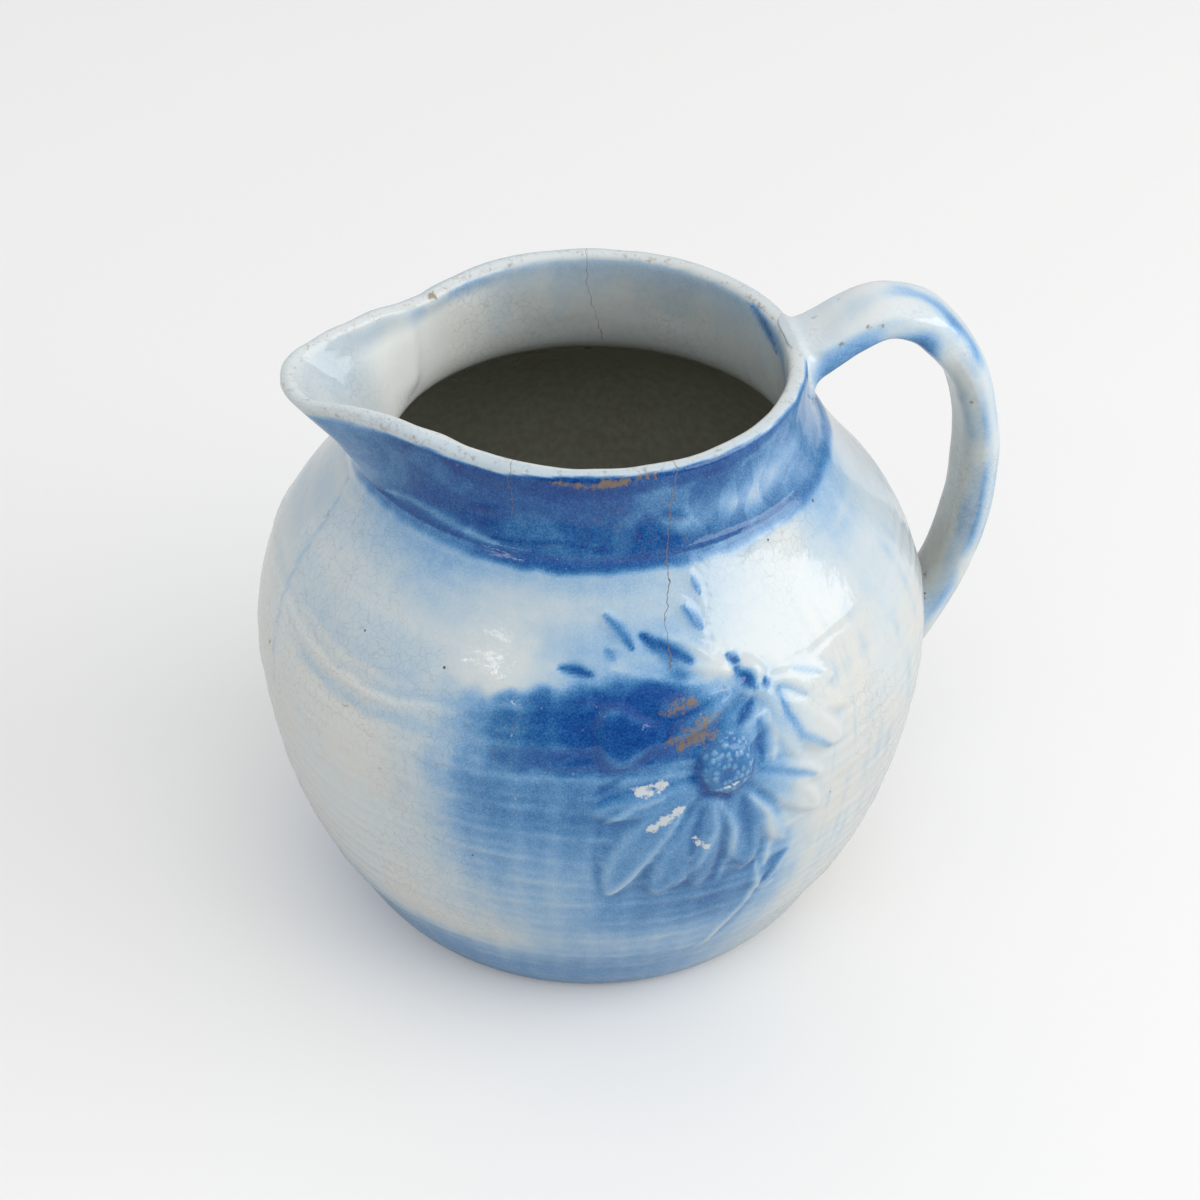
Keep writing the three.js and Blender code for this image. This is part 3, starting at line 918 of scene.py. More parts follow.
    def drawn(self, field: WallField, height: np.ndarray) -> np.ndarray:
        """Lays the belly's sprays and strokes, deep in hollows and thin on crests.

        Args:
            field: the belly's outer face.
            height: its relief in millimetres.

        Returns:
            The depth of cobalt at every point.
        """
        hollow = np.clip((blurred(height, self.pool_passes) - height) / 0.5, -1, 1)
        cobalt = field.sprays(self.decor.sprays, 11)
        thick = smoothstep(cobalt, 1.2, 3.5)
        cobalt = cobalt + field.strokes(self.decor.pooled) * (1 - 0.85 * thick)
        cobalt = cobalt - field.strokes(self.decor.thin_glaze_and_highlights) * np.clip(0.7 * cobalt, 0, 1.3)
        cobalt = np.maximum(cobalt, 0)
        cobalt = cobalt * (1 + 0.35 * np.clip(hollow, 0, 1) - 0.4 * np.clip(-hollow, 0, 1))
        return cobalt + 0.12 * np.clip(hollow, 0, 1)

    def over_ribs(self, field: WallField, cobalt: np.ndarray, broken: np.ndarray) -> np.ndarray:
        """Thins cobalt on the ribs and lets a little run down the right side.

        Args:
            field: the belly's outer face.
            cobalt: the depth of cobalt so far.
            broken: how uneven it is.

        Returns:
            The new depth.
        """
        level, upright, between = self.grid(field)
        clear = 1 - smoothstep(self.moulded(field), 0.1, 0.8)
        cobalt = cobalt * (1 - clear * (0.24 * level * broken + 0.1 * upright**2 - 0.08))
        right = smoothstep(field.near, -66, -56) * clear * smoothstep(field.height, 24, 50)
        right = right * (1 - smoothstep(field.height, 112, 130))
        drawn = np.stack([field.near, field.near, 0.05 * field.height], -1)
        runs = np.clip(ripples(drawn, (1.1, 3), 14) - 0.1, 0, 1.2)
        return cobalt + right * (0.2 * runs * broken + 0.05 * between * np.clip(broken, 0, 1.5))

    def round_shoulder(self, field: WallField, cobalt: np.ndarray, broken: np.ndarray) -> np.ndarray:
        """Thins cobalt on the shoulder's ridge and washes it faintly round about.

        Args:
            field: the belly's outer face.
            cobalt: the depth of cobalt so far.
            broken: how uneven it is.

        Returns:
            The new depth.
        """
        edge = self.above_shoulder(field)
        left = 1 - smoothstep(field.near, -138, -122)
        crest = bell(edge - 0.2, 1.5) + 0.6 * bell(edge - 4.5, 1.0)
        wash = bell(edge + 4.0 + 0.5 * broken, 1.5) * left * smoothstep(field.near, -166, -154)
        rings = ripples(field.place * np.array([0.15, 0.15, 1]), (5, 11), 13)
        rings = rings * left * smoothstep(edge, -2, 4) * (1 - smoothstep(field.height, 128, 136))
        return cobalt * (1 - 0.8 * crest * left) + 0.26 * wash + 0.07 * np.clip(rings, -1, 1.5)

    def paint_belly(self, field: WallField, height: np.ndarray) -> dict[str, np.ndarray]:
        """Works out where the belly's glaze is blue, worn and bare.

        Args:
            field: the belly's outer face.
            height: its relief in millimetres.

        Returns:
            The glaze's attributes over the field.
        """
        broken = 0.7 + 0.5 * ripples(field.place, (5, 16), 12)
        cobalt = self.over_ribs(field, self.drawn(field, height), broken)
        cobalt = self.round_shoulder(field, cobalt, broken)
        cobalt = cobalt + self.decor.seam.strength * self.decor.seam.bell(field) * (field.azimuth < 0)
        below = (1 - smoothstep(field.height, 3.0, 6.0)) * (1 - smoothstep(field.radius, *self.foot_ring))
        x, y = field.flat(LOWER_DAISY.middle[0])
        _, arc = field.flat(LOWER_DAISY.middle[0], LOWER_DAISY.middle)
        off = np.hypot(x, y - arc) / LOWER_DAISY.radius
        return {
            "seeded": 1 - smoothstep(off, 0.85, 1.02),
            "cobalt": self.settled(cobalt) * (1 - below),
            "worn": field.strokes(self.decor.worn) * (field.azimuth < 0),
            "bare": field.strokes(self.decor.bare) * (field.azimuth < 0),
        }

    def paint_outer(self, field: WallField) -> dict[str, np.ndarray]:
        """Works out where the collar's outer glaze is blue and worn, and where lighter patches and strokes
        paint its reflections and highlights.

        Args:
            field: the outer face from the crease to the top of the rim, before the lip was pulled.

        Returns:
            The glaze's attributes over the field.
        """
        decor, z, near = self.collar_decor, field.height, field.near
        wander = ripples(field.place, (12, 45), 21)
        fine = ripples(field.place, (4, 12), 22)
        girth = eased(decor.girth, 1, near)
        band = smoothstep(z + 0.35 * fine, *(eased(decor.band, 1, near) + d for d in (-0.9, 0.7)))
        white = smoothstep(z + 0.12 * fine, *(eased(decor.rim, 1, near) + d for d in (-0.35, 0.35)))
        crease = 1.3 * (1 - smoothstep(z + 0.2 * fine, 141.6, 143.6))
        # painted reflection: random crisp-edged patches take blue away, standing for the glaze's glossy sheen
        # on the collar
        painted_sheen = 0.65 * smoothstep(ripples(field.place, (7, 26), 25), 0.03, 0.15)
        cobalt = 3.8 + crease + 0.35 * wander + 0.2 * fine
        # the thinning strokes, partly thin glaze and partly painted highlight and reflection, take blue away
        # below the band
        cobalt = cobalt - (painted_sheen + field.strokes(decor.thin_glaze_and_highlights)) * (1 - band)
        # painted highlight: the lit strokes take blue away under the rim on the right
        cobalt = cobalt + 0.8 * band + field.strokes(decor.pooled) - 0.8 * field.strokes(decor.lit)
        cobalt = cobalt * girth * (1 - 0.96 * white)
        worn = field.strokes(decor.worn) * (field.azimuth < 0) + 0.30 * white
        return {"cobalt": self.settled(cobalt), "worn": worn}

    def paint_inner(self, field: WallField) -> dict[str, np.ndarray]:
        """Works out where the collar's inner glaze is blue and worn.

        Args:
            field: the inner face from the top of the rim to the throat, as thrown.

        Returns:
            The glaze's attributes over the field.
        """
        decor, z, azimuth = self.collar_decor, field.height, field.azimuth
        streak = ripples(field.place * np.array([1, 1, 0.2]), (6, 18), 23)
        fine = ripples(field.place, (4, 12), 24)
        under_rim = 0.45 * smoothstep(z + 4 * streak, 146, 156)
        under_rim = under_rim + 0.55 * smoothstep(z + 1.2 * streak, 154, 161)
        back = within(azimuth, (2, 25), (118, 138))
        cobalt = 0.06 + (0.05 + 0.42 * back) * under_rim + field.strokes(decor.inner)
        cobalt = cobalt * (1 - smoothstep(z + 0.2 * fine, 161.4, 162.5))
        worn = 0.30 * smoothstep(z, 161.0, 162.6) + field.strokes(decor.rubbed)
        return {"cobalt": np.maximum(cobalt, 0), "worn": worn}

    def paint_lining(self, whole: WallField, row: np.ndarray) -> dict[str, np.ndarray]:
        """Works out where light and shade are painted on the inner wall, and where the inside's darker grey
        begins.

        Args:
            whole: the whole wall.
            row: the number of each point's row.

        Returns:
            The glaze's attributes over the wall.
        """
        azimuth, z = whole.azimuth, whole.height
        shaded = within(azimuth, (-10, 30), (120, 145))
        # painted light: the inner wall beside the lip is whitened where the window's light falls on it
        pale = within(azimuth, (92, 128), (156, 170))
        pale = pale * (row > self.top + 4) * (row < self.throat) * (1 - smoothstep(z, 157, 161))
        # painted shade: the inner collar takes a little of the inside's grey, more on the far wall that the
        # rim shades
        painted_inner_shade = 0.1 * (1 - pale) + 0.22 * shaded * (1 - 0.6 * smoothstep(z, 150, 160))
        painted_inner_shade = painted_inner_shade * (row > self.top + 6) * (row < self.throat + 3)
        lined = smoothstep(row - self.throat + 1.0, 0, 5)
        return {"pale": 0.85 * pale, "inside": np.maximum(lined, painted_inner_shade)}

    def raised(self, whole: WallField, row: np.ndarray) -> np.ndarray:
        """Raises the relief, the hand's unevenness and the fold inside the lip.

        Args:
            whole: the whole wall.
            row: the number of each point's row.

        Returns:
            Millimetres along the wall's normal at every point.
        """
        s = self.section
        height = np.zeros(row.shape)
        height[:, : self.crease + 1] = self.relief(self.field(0, self.crease))
        upper = smoothstep(whole.height, 141, 147) * ((row > self.crease) & (row < self.throat))
        hand = 0.14 * ripples(whole.place, (14, 45), 31) + 0.03 * ripples(whole.place, (5, 9), 32)
        height += upper * hand
        outer = self.field(self.crease, self.top)
        lumps = outer.strokes(self.collar_decor.pooled) * smoothstep(outer.height, 142.2, 144)
        height[:, self.crease : self.top + 1] += 0.2 * np.clip(lumps, 0, 1.5)
        inner_wall = (s["normal_r"] < -0.5)[None] & (row < self.throat)
        fade = smoothstep(s["z"], 137, 144)[None] * (1 - 0.55 * smoothstep(s["z"], 158, 163)[None])
        height += self.lip.fold_height * self.lip.fold(whole.azimuth) * inner_wall * fade
        height[:, [0, -1]] = 0.0
        return height

    def shape(self, piece: bpy.types.Object) -> None:
        """Spaces the turned columns, pulls the lip, raises the relief and stores the glaze.

        Args:
            piece: the turned wall.
        """
        s = self.section
        whole = self.field(0, len(s["r"]) - 1, mirrored=False)
        row = np.broadcast_to(np.arange(len(s["r"])), whole.azimuth.shape)
        height = self.raised(whole, row)
        angle = np.radians(whole.azimuth)
        outward, upward = self.lip.pull(whole.azimuth, np.broadcast_to(s["share"], row.shape))
        leaning = self.lean * np.sin(angle) * smoothstep(whole.height, 142, 162)
        leaning = leaning * (row > self.crease - 4) * (row < self.throat)
        radius = whole.radius + outward + leaning + height * s["normal_r"]
        radius[:, [0, -1]] = 0.0
        z = whole.height + upward + height * s["normal_z"]
        co = np.stack([radius * np.cos(angle), radius * np.sin(angle), z], -1) * MM
        piece.data.vertices.foreach_set("co", co.reshape(-1))
        self.glaze(piece.data, whole, row, height)

    def glaze(self, mesh: bpy.types.Mesh, whole: WallField, row: np.ndarray, height: np.ndarray) -> None:
        """Stores all that the glaze reads of every vertex.

        Args:
            mesh: the wall's mesh.
            whole: the whole wall.
            row: the number of each point's row.
            height: its relief in millimetres.
        """
        belly = self.paint_belly(self.field(0, self.crease), height[:, : self.crease + 1])
        above = self.paint_outer(self.field(self.crease, self.top))
        inner = self.paint_inner(self.field(self.top, self.throat, mirrored=False))
        for name in belly:
            values = np.zeros(row.shape)
            if name in above:
                values[:, self.top : self.throat + 1] = inner[name]
                values[:, self.crease : self.top + 1] = above[name]
            values[:, : self.crease + 1] = belly[name]
            self.store(mesh, name, values)
        for name, values in self.paint_lining(whole, row).items():
            self.store(mesh, name, values)
        self.store(mesh, "row", row)

    @staticmethod
    def store(mesh: bpy.types.Mesh, name: str, values: np.ndarray) -> None:
        """Keeps a value of every vertex as an attribute of the mesh."""
        kept = mesh.attributes.new(name, "FLOAT", "POINT")
        kept.data.foreach_set("value", np.ascontiguousarray(values, np.float32).reshape(-1))

    def part(self, piece: bpy.types.Object) -> dict[Side, bpy.types.Object]:
        """Closes the turned wall, and parts it into belly and collar with a seat between them.

        Args:
            piece: the whole turned wall.

        Returns:
            Each side's own closed piece.
        """
        select_only(piece)
        open_mesh()
        bpy.ops.mesh.remove_doubles(threshold=SAME_PLACE)
        bpy.ops.mesh.normals_make_consistent(inside=False)
        close_mesh()
        mesh = piece.data
        normals = np.empty(len(mesh.vertices) * 3, np.float32)
        mesh.vertex_normals.foreach_get("vector", normals)
        kept = mesh.attributes.new("wall_normal", "FLOAT_VECTOR", "POINT")
        kept.data.foreach_set("vector", normals)
        row = np.empty(len(mesh.vertices), np.float32)
        mesh.attributes["row"].data.foreach_get("value", row)
        bpy.ops.object.mode_set(mode="EDIT")
        bpy.ops.mesh.select_mode(type="FACE")
        bpy.ops.mesh.select_all(action="DESELECT")
        close_mesh()
        for polygon in mesh.polygons:
            rows = row[list(polygon.vertices)]
            polygon.select = bool(rows.min() >= self.crease - 0.5 and rows.max() <= self.throat + 0.5)
        bpy.ops.object.mode_set(mode="EDIT")
        bpy.ops.mesh.separate(type="SELECTED")
        close_mesh()
        other = next(o for o in bpy.context.selected_objects if o.name != piece.name)
        pieces = {Side.BELLY: piece, Side.COLLAR: other}
        for side, made in pieces.items():
            made.name = side.value
            made.data.name = side.value
            self.close(made)
        return pieces

    @staticmethod
    def close(piece: bpy.types.Object) -> None:
        """Bridges a piece's two open edges with its seat, and keeps the wall's own shading.

        Args:
            piece: the belly or the collar.
        """
        select_only(piece)
        bpy.ops.object.mode_set(mode="EDIT")
        bpy.ops.mesh.select_mode(type="EDGE")
        bpy.ops.mesh.select_all(action="DESELECT")
        bpy.ops.mesh.select_non_manifold(
            extend=False, use_wire=False, use_boundary=True,
            use_multi_face=False, use_non_contiguous=False, use_verts=False,
        )
        bpy.ops.mesh.bridge_edge_loops()
        close_mesh()
        bpy.ops.object.shade_smooth()
        mesh = piece.data
        normals = np.empty(len(mesh.vertices) * 3, np.float32)
        mesh.attributes["wall_normal"].data.foreach_get("vector", normals)
        mesh.normals_split_custom_set_from_vertices(normals.reshape(-1, 3).tolist())
        for name in ("wall_normal", "row"):
            mesh.attributes.remove(mesh.attributes[name])

    def build(self) -> dict[Side, bpy.types.Object]:
        """Makes both pieces of the crock.

        Returns:
            The belly and the collar.
        """
        piece = self.turn()
        self.shape(piece)
        pieces = self.part(piece)
        relief = [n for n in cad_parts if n.endswith(("_near", "_far"))]
        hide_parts("belly", *relief)
        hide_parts("collar", "pouring_lip")
        return pieces


@dataclass
class Handle:
    """The strap handle, luted to the collar under the rim and to the belly low down."""

    wall: Wall
    line: tuple[Point, ...] = (
        (50.5, 153.9), (53, 155.3), (58, 158.4), (67.5, 164.3), (77, 167.4), (86.2, 165), (94, 158),
        (100.1, 148.8), (104, 137), (105.9, 124), (105.9, 111.5), (104.4, 99), (101.2, 87), (96, 75),
        (89.2, 63.5), (80.5, 52),
    )
    width: float = 20.5
    tail_width: float = 17.5
    thickness: float = 10.4
    swelling: float = 1.4
    swelling_at: float = 91.0
    swelling_reach: float = 8.0
    squareness: float = 3.2
    dishing: float = 0.07
    fillet: float = 4.5
    fillet_share: float = 0.85
    bedding: float = 2.5
    around: int = 56
    along: int = 230
    specks: Rows = (
        (61, -4, 164), (58.5, -7.5, 160.5), (59, 2.5, 166), (66, 4.5, 169), (70, -9.4, 169),
        (74, -9.8, 169), (63, -9.6, 165), (100, -9.7, 142), (94, -3.6, 82), (97, -8.5, 96),
        (93, -8.8, 84), (91.5, -8.5, 80), (95.5, -9, 88), (92.5, -7.5, 77),
    )
    speck_area: float = 0.8

    def middle_line(self) -> tuple[np.ndarray, np.ndarray]:
        """Samples the middle line evenly.

        Returns:
            Points as x and z, and the unit direction at each.
        """
        corners = np.array(self.line, float)
        chord = np.concatenate([[0], np.cumsum(np.hypot(*np.diff(corners, axis=0).T))])
        at = np.linspace(0, chord[-1], self.along)
        line = np.stack([hermite(chord, v, np.gradient(v, chord), at) for v in corners.T], -1)
        direction = np.gradient(line, axis=0)
        direction /= np.linalg.norm(direction, axis=1)[:, None]
        return line, direction

    def off_wall(self, co: np.ndarray) -> np.ndarray:
        """Measures how far points outside the thrown wall are from it.

        Args:
            co: places in millimetres.

        Returns:
            The distance of each in millimetres.
        """
        rows = self.wall.outside()
        radius = np.interp(co[..., 2], rows[:, 1], rows[:, 0])
        slope = np.gradient(rows[:, 0], rows[:, 1])
        lean = 1 / np.hypot(1, np.interp(co[..., 2], rows[:, 1], slope))
        over = np.maximum(co[..., 2] - rows[-1, 1], 0)
        level = (np.hypot(co[..., 0], co[..., 1]) - radius) * lean
        return np.where(over > 0, np.hypot(np.maximum(level, 0), over), level)

    def strap(self) -> tuple[np.ndarray, np.ndarray]:
        """Bends the strap's section along its middle line and works its roots into the wall.

        Returns:
            Places in millimetres by step along and round the strap, and how far each place round
            it faces out: 1 on the outer face, -1 on the inner one.
        """
        line, direction = self.middle_line()
        turn = np.arange(self.around + 1) / self.around * 2 * math.pi
        power = 2 / self.squareness
        side = np.sign(np.cos(turn)) * abs(np.cos(turn)) ** power
        face = np.sign(np.sin(turn)) * abs(np.sin(turn)) ** power
        taper = np.interp(line[:, 1], [90, 150], [self.tail_width, self.width])[:, None] / 2
        bend = bell(line[:, 0] - self.swelling_at, self.swelling_reach) * (line[:, 1] > 140)
        thick = (self.thickness + self.swelling * bend)[:, None] / 2
        deep = thick * (face[None] - self.dishing * np.cos(turn[None]) ** 2 * np.sign(face[None]))
        normal = np.stack([-direction[:, 1], direction[:, 0]], -1)
        co = np.empty((self.along, self.around + 1, 3))
        co[..., 0] = line[:, None, 0] + deep * normal[:, None, 0]
        co[..., 1] = taper * side[None]
        co[..., 2] = line[:, None, 1] + deep * normal[:, None, 1]
        co = self.flare(co, line)
        hand = 0.22 * ripples(co, (14, 40), 41) + 0.05 * ripples(co, (5, 9), 42)
        return co + self.spokes(co, line) * hand[..., None], face

    def build(self) -> bpy.types.Object:
        """Rolls a flat sheet of clay into the strap and closes its edges and ends.

        Returns:
            The handle.
        """
        bpy.ops.object.select_all(action="DESELECT")
        bpy.ops.mesh.primitive_grid_add(
            x_subdivisions=self.around, y_subdivisions=self.along - 1, size=1, location=(0, 0, 0)
        )
        piece = bpy.context.active_object
        piece.name = piece.data.name = "glazed_handle"
        co, face = self.strap()
        piece.data.vertices.foreach_set("co", (co * MM).reshape(-1))
        for name, values in self.paint(co, face).items():
            Crock.store(piece.data, name, values)
        select_only(piece)
        open_mesh()
        bpy.ops.mesh.remove_doubles(threshold=SAME_PLACE)
        bpy.ops.mesh.select_all(action="DESELECT")
        bpy.ops.mesh.select_non_manifold(extend=False)
        bpy.ops.mesh.fill_holes(sides=0)
        bpy.ops.mesh.select_all(action="SELECT")
        bpy.ops.mesh.normals_make_consistent(inside=False)
        close_mesh()
        bpy.ops.object.shade_smooth()
        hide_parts("handle")
        return piece

    @staticmethod
    def spokes(co: np.ndarray, line: np.ndarray) -> np.ndarray:
        """Points from the middle line out to each place on the strap.

        Args:
            co: places in millimetres.
            line: the middle line as x and z.

        Returns:
            The unit direction for each place.
        """
        spoke = co - np.stack([line[:, 0], 0 * line[:, 0], line[:, 1]], -1)[:, None]
        return spoke / np.linalg.norm(spoke, axis=-1)[..., None]

    def flare(self, co: np.ndarray, line: np.ndarray) -> np.ndarray:
        """Spreads the strap near the wall, so that it runs into it in a round fillet.

        Args:
            co: places in millimetres.
            line: the middle line as x and z.

        Returns:
            The new places.
        """
        off = np.clip(self.off_wall(co), 0, self.fillet)
        spread = self.fillet - np.sqrt(self.fillet**2 - (self.fillet - off) ** 2)
        return self.bed(co + self.spokes(co, line) * (self.fillet_share * spread)[..., None])

    def bed(self, co: np.ndarray) -> np.ndarray:
        """Lets no part of the roots sink deeper into the wall than the bedding.

        Args:
            co: places in millimetres.

        Returns:
            The new places.
        """
        rows = self.wall.outside()
        least = np.interp(co[..., 2], rows[:, 1], rows[:, 0]) - self.bedding
        off_axis = np.hypot(co[..., 0], co[..., 1])
        push = np.maximum(least / off_axis, 1)[..., None]
        return co * np.concatenate([push, push, np.ones_like(push)], -1)

    def paint(self, co: np.ndarray, face: np.ndarray) -> dict[str, np.ndarray]:
        """Works out where the handle's glaze is blue and worn, and where shade is painted on its inner face.

        Args:
            co: places of its points in millimetres.
            face: 1 on the outer face of the strap, -1 on the inner one.

        Returns:
            The glaze's attributes at the points.
        """
        x, y, z = co[..., 0], co[..., 1], co[..., 2]
        wander = ripples(co, (8, 26), 43)
        streak = ripples(co * np.array([0.4, 1, 0.4]), (4, 11), 44)
        out = np.broadcast_to(face[None], x.shape)
        flank = smoothstep(abs(y) + 0.6 * wander, 6.0, 9.0)
        arch = within(x, (52, 60), (84, 93)) * smoothstep(z, 146, 152)
        falling = smoothstep(x, 90, 97)
        shoulder = bell(z - 157 + 2 * streak, 7) * falling * smoothstep(out, -0.2, 0.6)
        tail = (1 - smoothstep(z + 2 * wander, 66, 92)) * smoothstep(out, -0.9, 0.2)
        cream = bell(out - 0.5, 0.3) * flank * falling
        edge = bell(out - 0.02 + 0.1 * streak, 0.22) * flank * falling
        course = np.interp(x, (80, 87, 91, 94, 98, 101), (1.5, 0.0, -2.0, -4.5, -6.5, -9.5))
        sweep = bell(y - course + 1.2 * streak, 3.2) * smoothstep(x, 74, 88)
        sweep = sweep * (1 - smoothstep(x, 100, 104)) * (z > 150) * smoothstep(out, -0.3, 0.3)
        under = (1 - smoothstep(out, -0.9, -0.2)) * arch
        low = smoothstep(-out + 0.35 * streak, -0.7, 0.5)
        down = 1 - smoothstep(z, 80, 150)
        cobalt = 0.1 + 1.25 * arch * flank * low + 0.3 * shoulder + 1.2 * tail + 1.0 * sweep
        cobalt = cobalt + (0.2 + 0.6 * down) * (1 + 0.5 * wander) * edge
        cobalt = cobalt + 0.5 * flank * falling * (0.6 + down) + 0.7 * under
        cobalt = cobalt * np.clip(1 + 0.45 * wander + 0.6 * streak, 0.15, 2.2) * (1 - 0.75 * cream)
        worn = np.zeros_like(x)
        for wx, wy, wz in self.specks:
            worn += np.exp(-(((x - wx) ** 2 + (y - wy) ** 2 + (z - wz) ** 2) / self.speck_area))
        return {
            "cobalt": np.maximum(cobalt, 0),
            "worn": worn,
            # painted shade: the strap's inner face beside the belly takes the inside's grey
            "inside": 0.46 * falling * (1 - smoothstep(out, -0.3, 0.25)) * (1 - 0.5 * tail),
        }


class Nodes:
    """Makes nodes in one tree, so that each pattern reads as one line."""

    def __init__(self, tree: bpy.types.NodeTree, place: str = "Object") -> None:
        """Empties the tree.

        Args:
            tree: a material's or a world's own tree.
            place: which coordinates its patterns are read at.
        """
        self.tree = tree
        tree.nodes.clear()
        self.place = self.make("TexCoord").outputs[place]

    def make(self, kind: str, fed: dict | None = None, **settings: str) -> bpy.types.Node:
        """Makes a node.

        Args:
            kind: its type, without the ShaderNode in front.
            fed: sockets or plain values by the name or number of the input that takes them.
            settings: the node's own settings.

        Returns:
            The node.
        """
        node = self.tree.nodes.new("ShaderNode" + kind)
        for name, value in settings.items():
            setattr(node, name, value)
        for name, value in (fed or {}).items():
            self.feed(node, name, value)
        return node

    def feed(self, node: bpy.types.Node, name: str | int, value: object) -> None:
        """Links a node's input to a socket, or gives it a plain value.

        Args:
            node: the node.
            name: the input's name or number.
            value: a socket or a plain value.
        """
        if isinstance(value, Socket):
            self.tree.links.new(value, node.inputs[name])
        else:
            node.inputs[name].default_value = value

    def math(self, operation: str, *values: object) -> Socket:
        """One step of arithmetic with sockets or numbers."""
        return self.make("Math", dict(enumerate(values)), operation=operation).outputs[0]

    def add(self, first: object, *others: object) -> Socket:
        """The sum of the values, from left to right."""
        for other in others:
            first = self.math("ADD", first, other)
        return first

    def times(self, first: object, *others: object) -> Socket:
        """The product of the values, from left to right."""
        for other in others:
            first = self.math("MULTIPLY", first, other)
        return first

    def step(self, value: object, low: float, high: float, start: float = 0.0, end: float = 1.0) -> Socket:
        """Steps smoothly from one value to another.

        Args:
            value: what is read.
            low: where the step begins.
            high: where it ends.
            start: the result at and below low.
            end: the result at and above high.

        Returns:
            The result.
        """
        fed = {"Value": value, "From Min": low, "From Max": high, "To Min": start, "To Max": end}
        return self.make("MapRange", fed, interpolation_type="SMOOTHSTEP").outputs["Result"]

    def noise(self, scale: float, detail: float = 2.0, roughness: float = 0.5, output: str = "Fac") -> Socket:
        """Makes cloudy noise.

        Args:
            scale: cells to the metre.
            detail: octaves.
            roughness: how much the finer octaves count.
            output: "Fac" for a value from 0 to 1, or "Color" for three of them.

        Returns:
            The noise.
        """
        fed = {"Vector": self.place, "Scale": scale, "Detail": detail, "Roughness": roughness}
        return self.make("TexNoise", fed).outputs[output]

    def cells(self, scale: float, feature: str = "F1", place: Socket | None = None) -> bpy.types.Node:
        """Makes a cell pattern.

        Args:
            scale: cells to the metre.
            feature: what the node measures.
            place: where it is read, if not at the point on the piece.

        Returns:
            The node.
        """
        fed = {"Vector": self.place if place is None else place, "Scale": scale}
        return self.make("TexVoronoi", fed, feature=feature)

    def attribute(self, name: str) -> Socket:
        """A value that the mesh carries, or 0 where it has none of that name."""
        return self.make("Attribute", attribute_name=name).outputs["Fac"]

    def blend(self, share: object, first: object, second: object, kind: str = "MIX") -> Socket:
        """Mixes two colours.

        Args:
            share: how much of the second is laid over the first.
            first: a colour.
            second: another.
            kind: how it is laid over.

        Returns:
            The mixed colour.
        """
        fed = {"Factor": share, 6: first, 7: second}
        return self.make("Mix", fed, data_type="RGBA", blend_type=kind).outputs[2]

    def parts(self, value: object, kind: str = "XYZ") -> bpy.types.bpy_prop_collection:
        """The three parts of a place, or of a colour where the kind is Color."""
        return self.make("Separate" + kind, {0: value}).outputs


class Finish(Nodes):
    """The nodes of a material, with its shader."""

    def __init__(self, name: str) -> None:
        """Starts a material.

        Args:
            name: the material's name.
        """
        self.material = bpy.data.materials.new(name)
        self.material.use_nodes = True
        super().__init__(self.material.node_tree)
        self.shader = self.make("BsdfPrincipled")
        self.make("OutputMaterial", {"Surface": self.shader.outputs["BSDF"]})


@dataclass(frozen=True)
class Crack:
    """A hairline through the glaze, from a low place up to a high one."""

    low: Point
    high: Point
    width: float = 0.16
    strength: float = 0.9


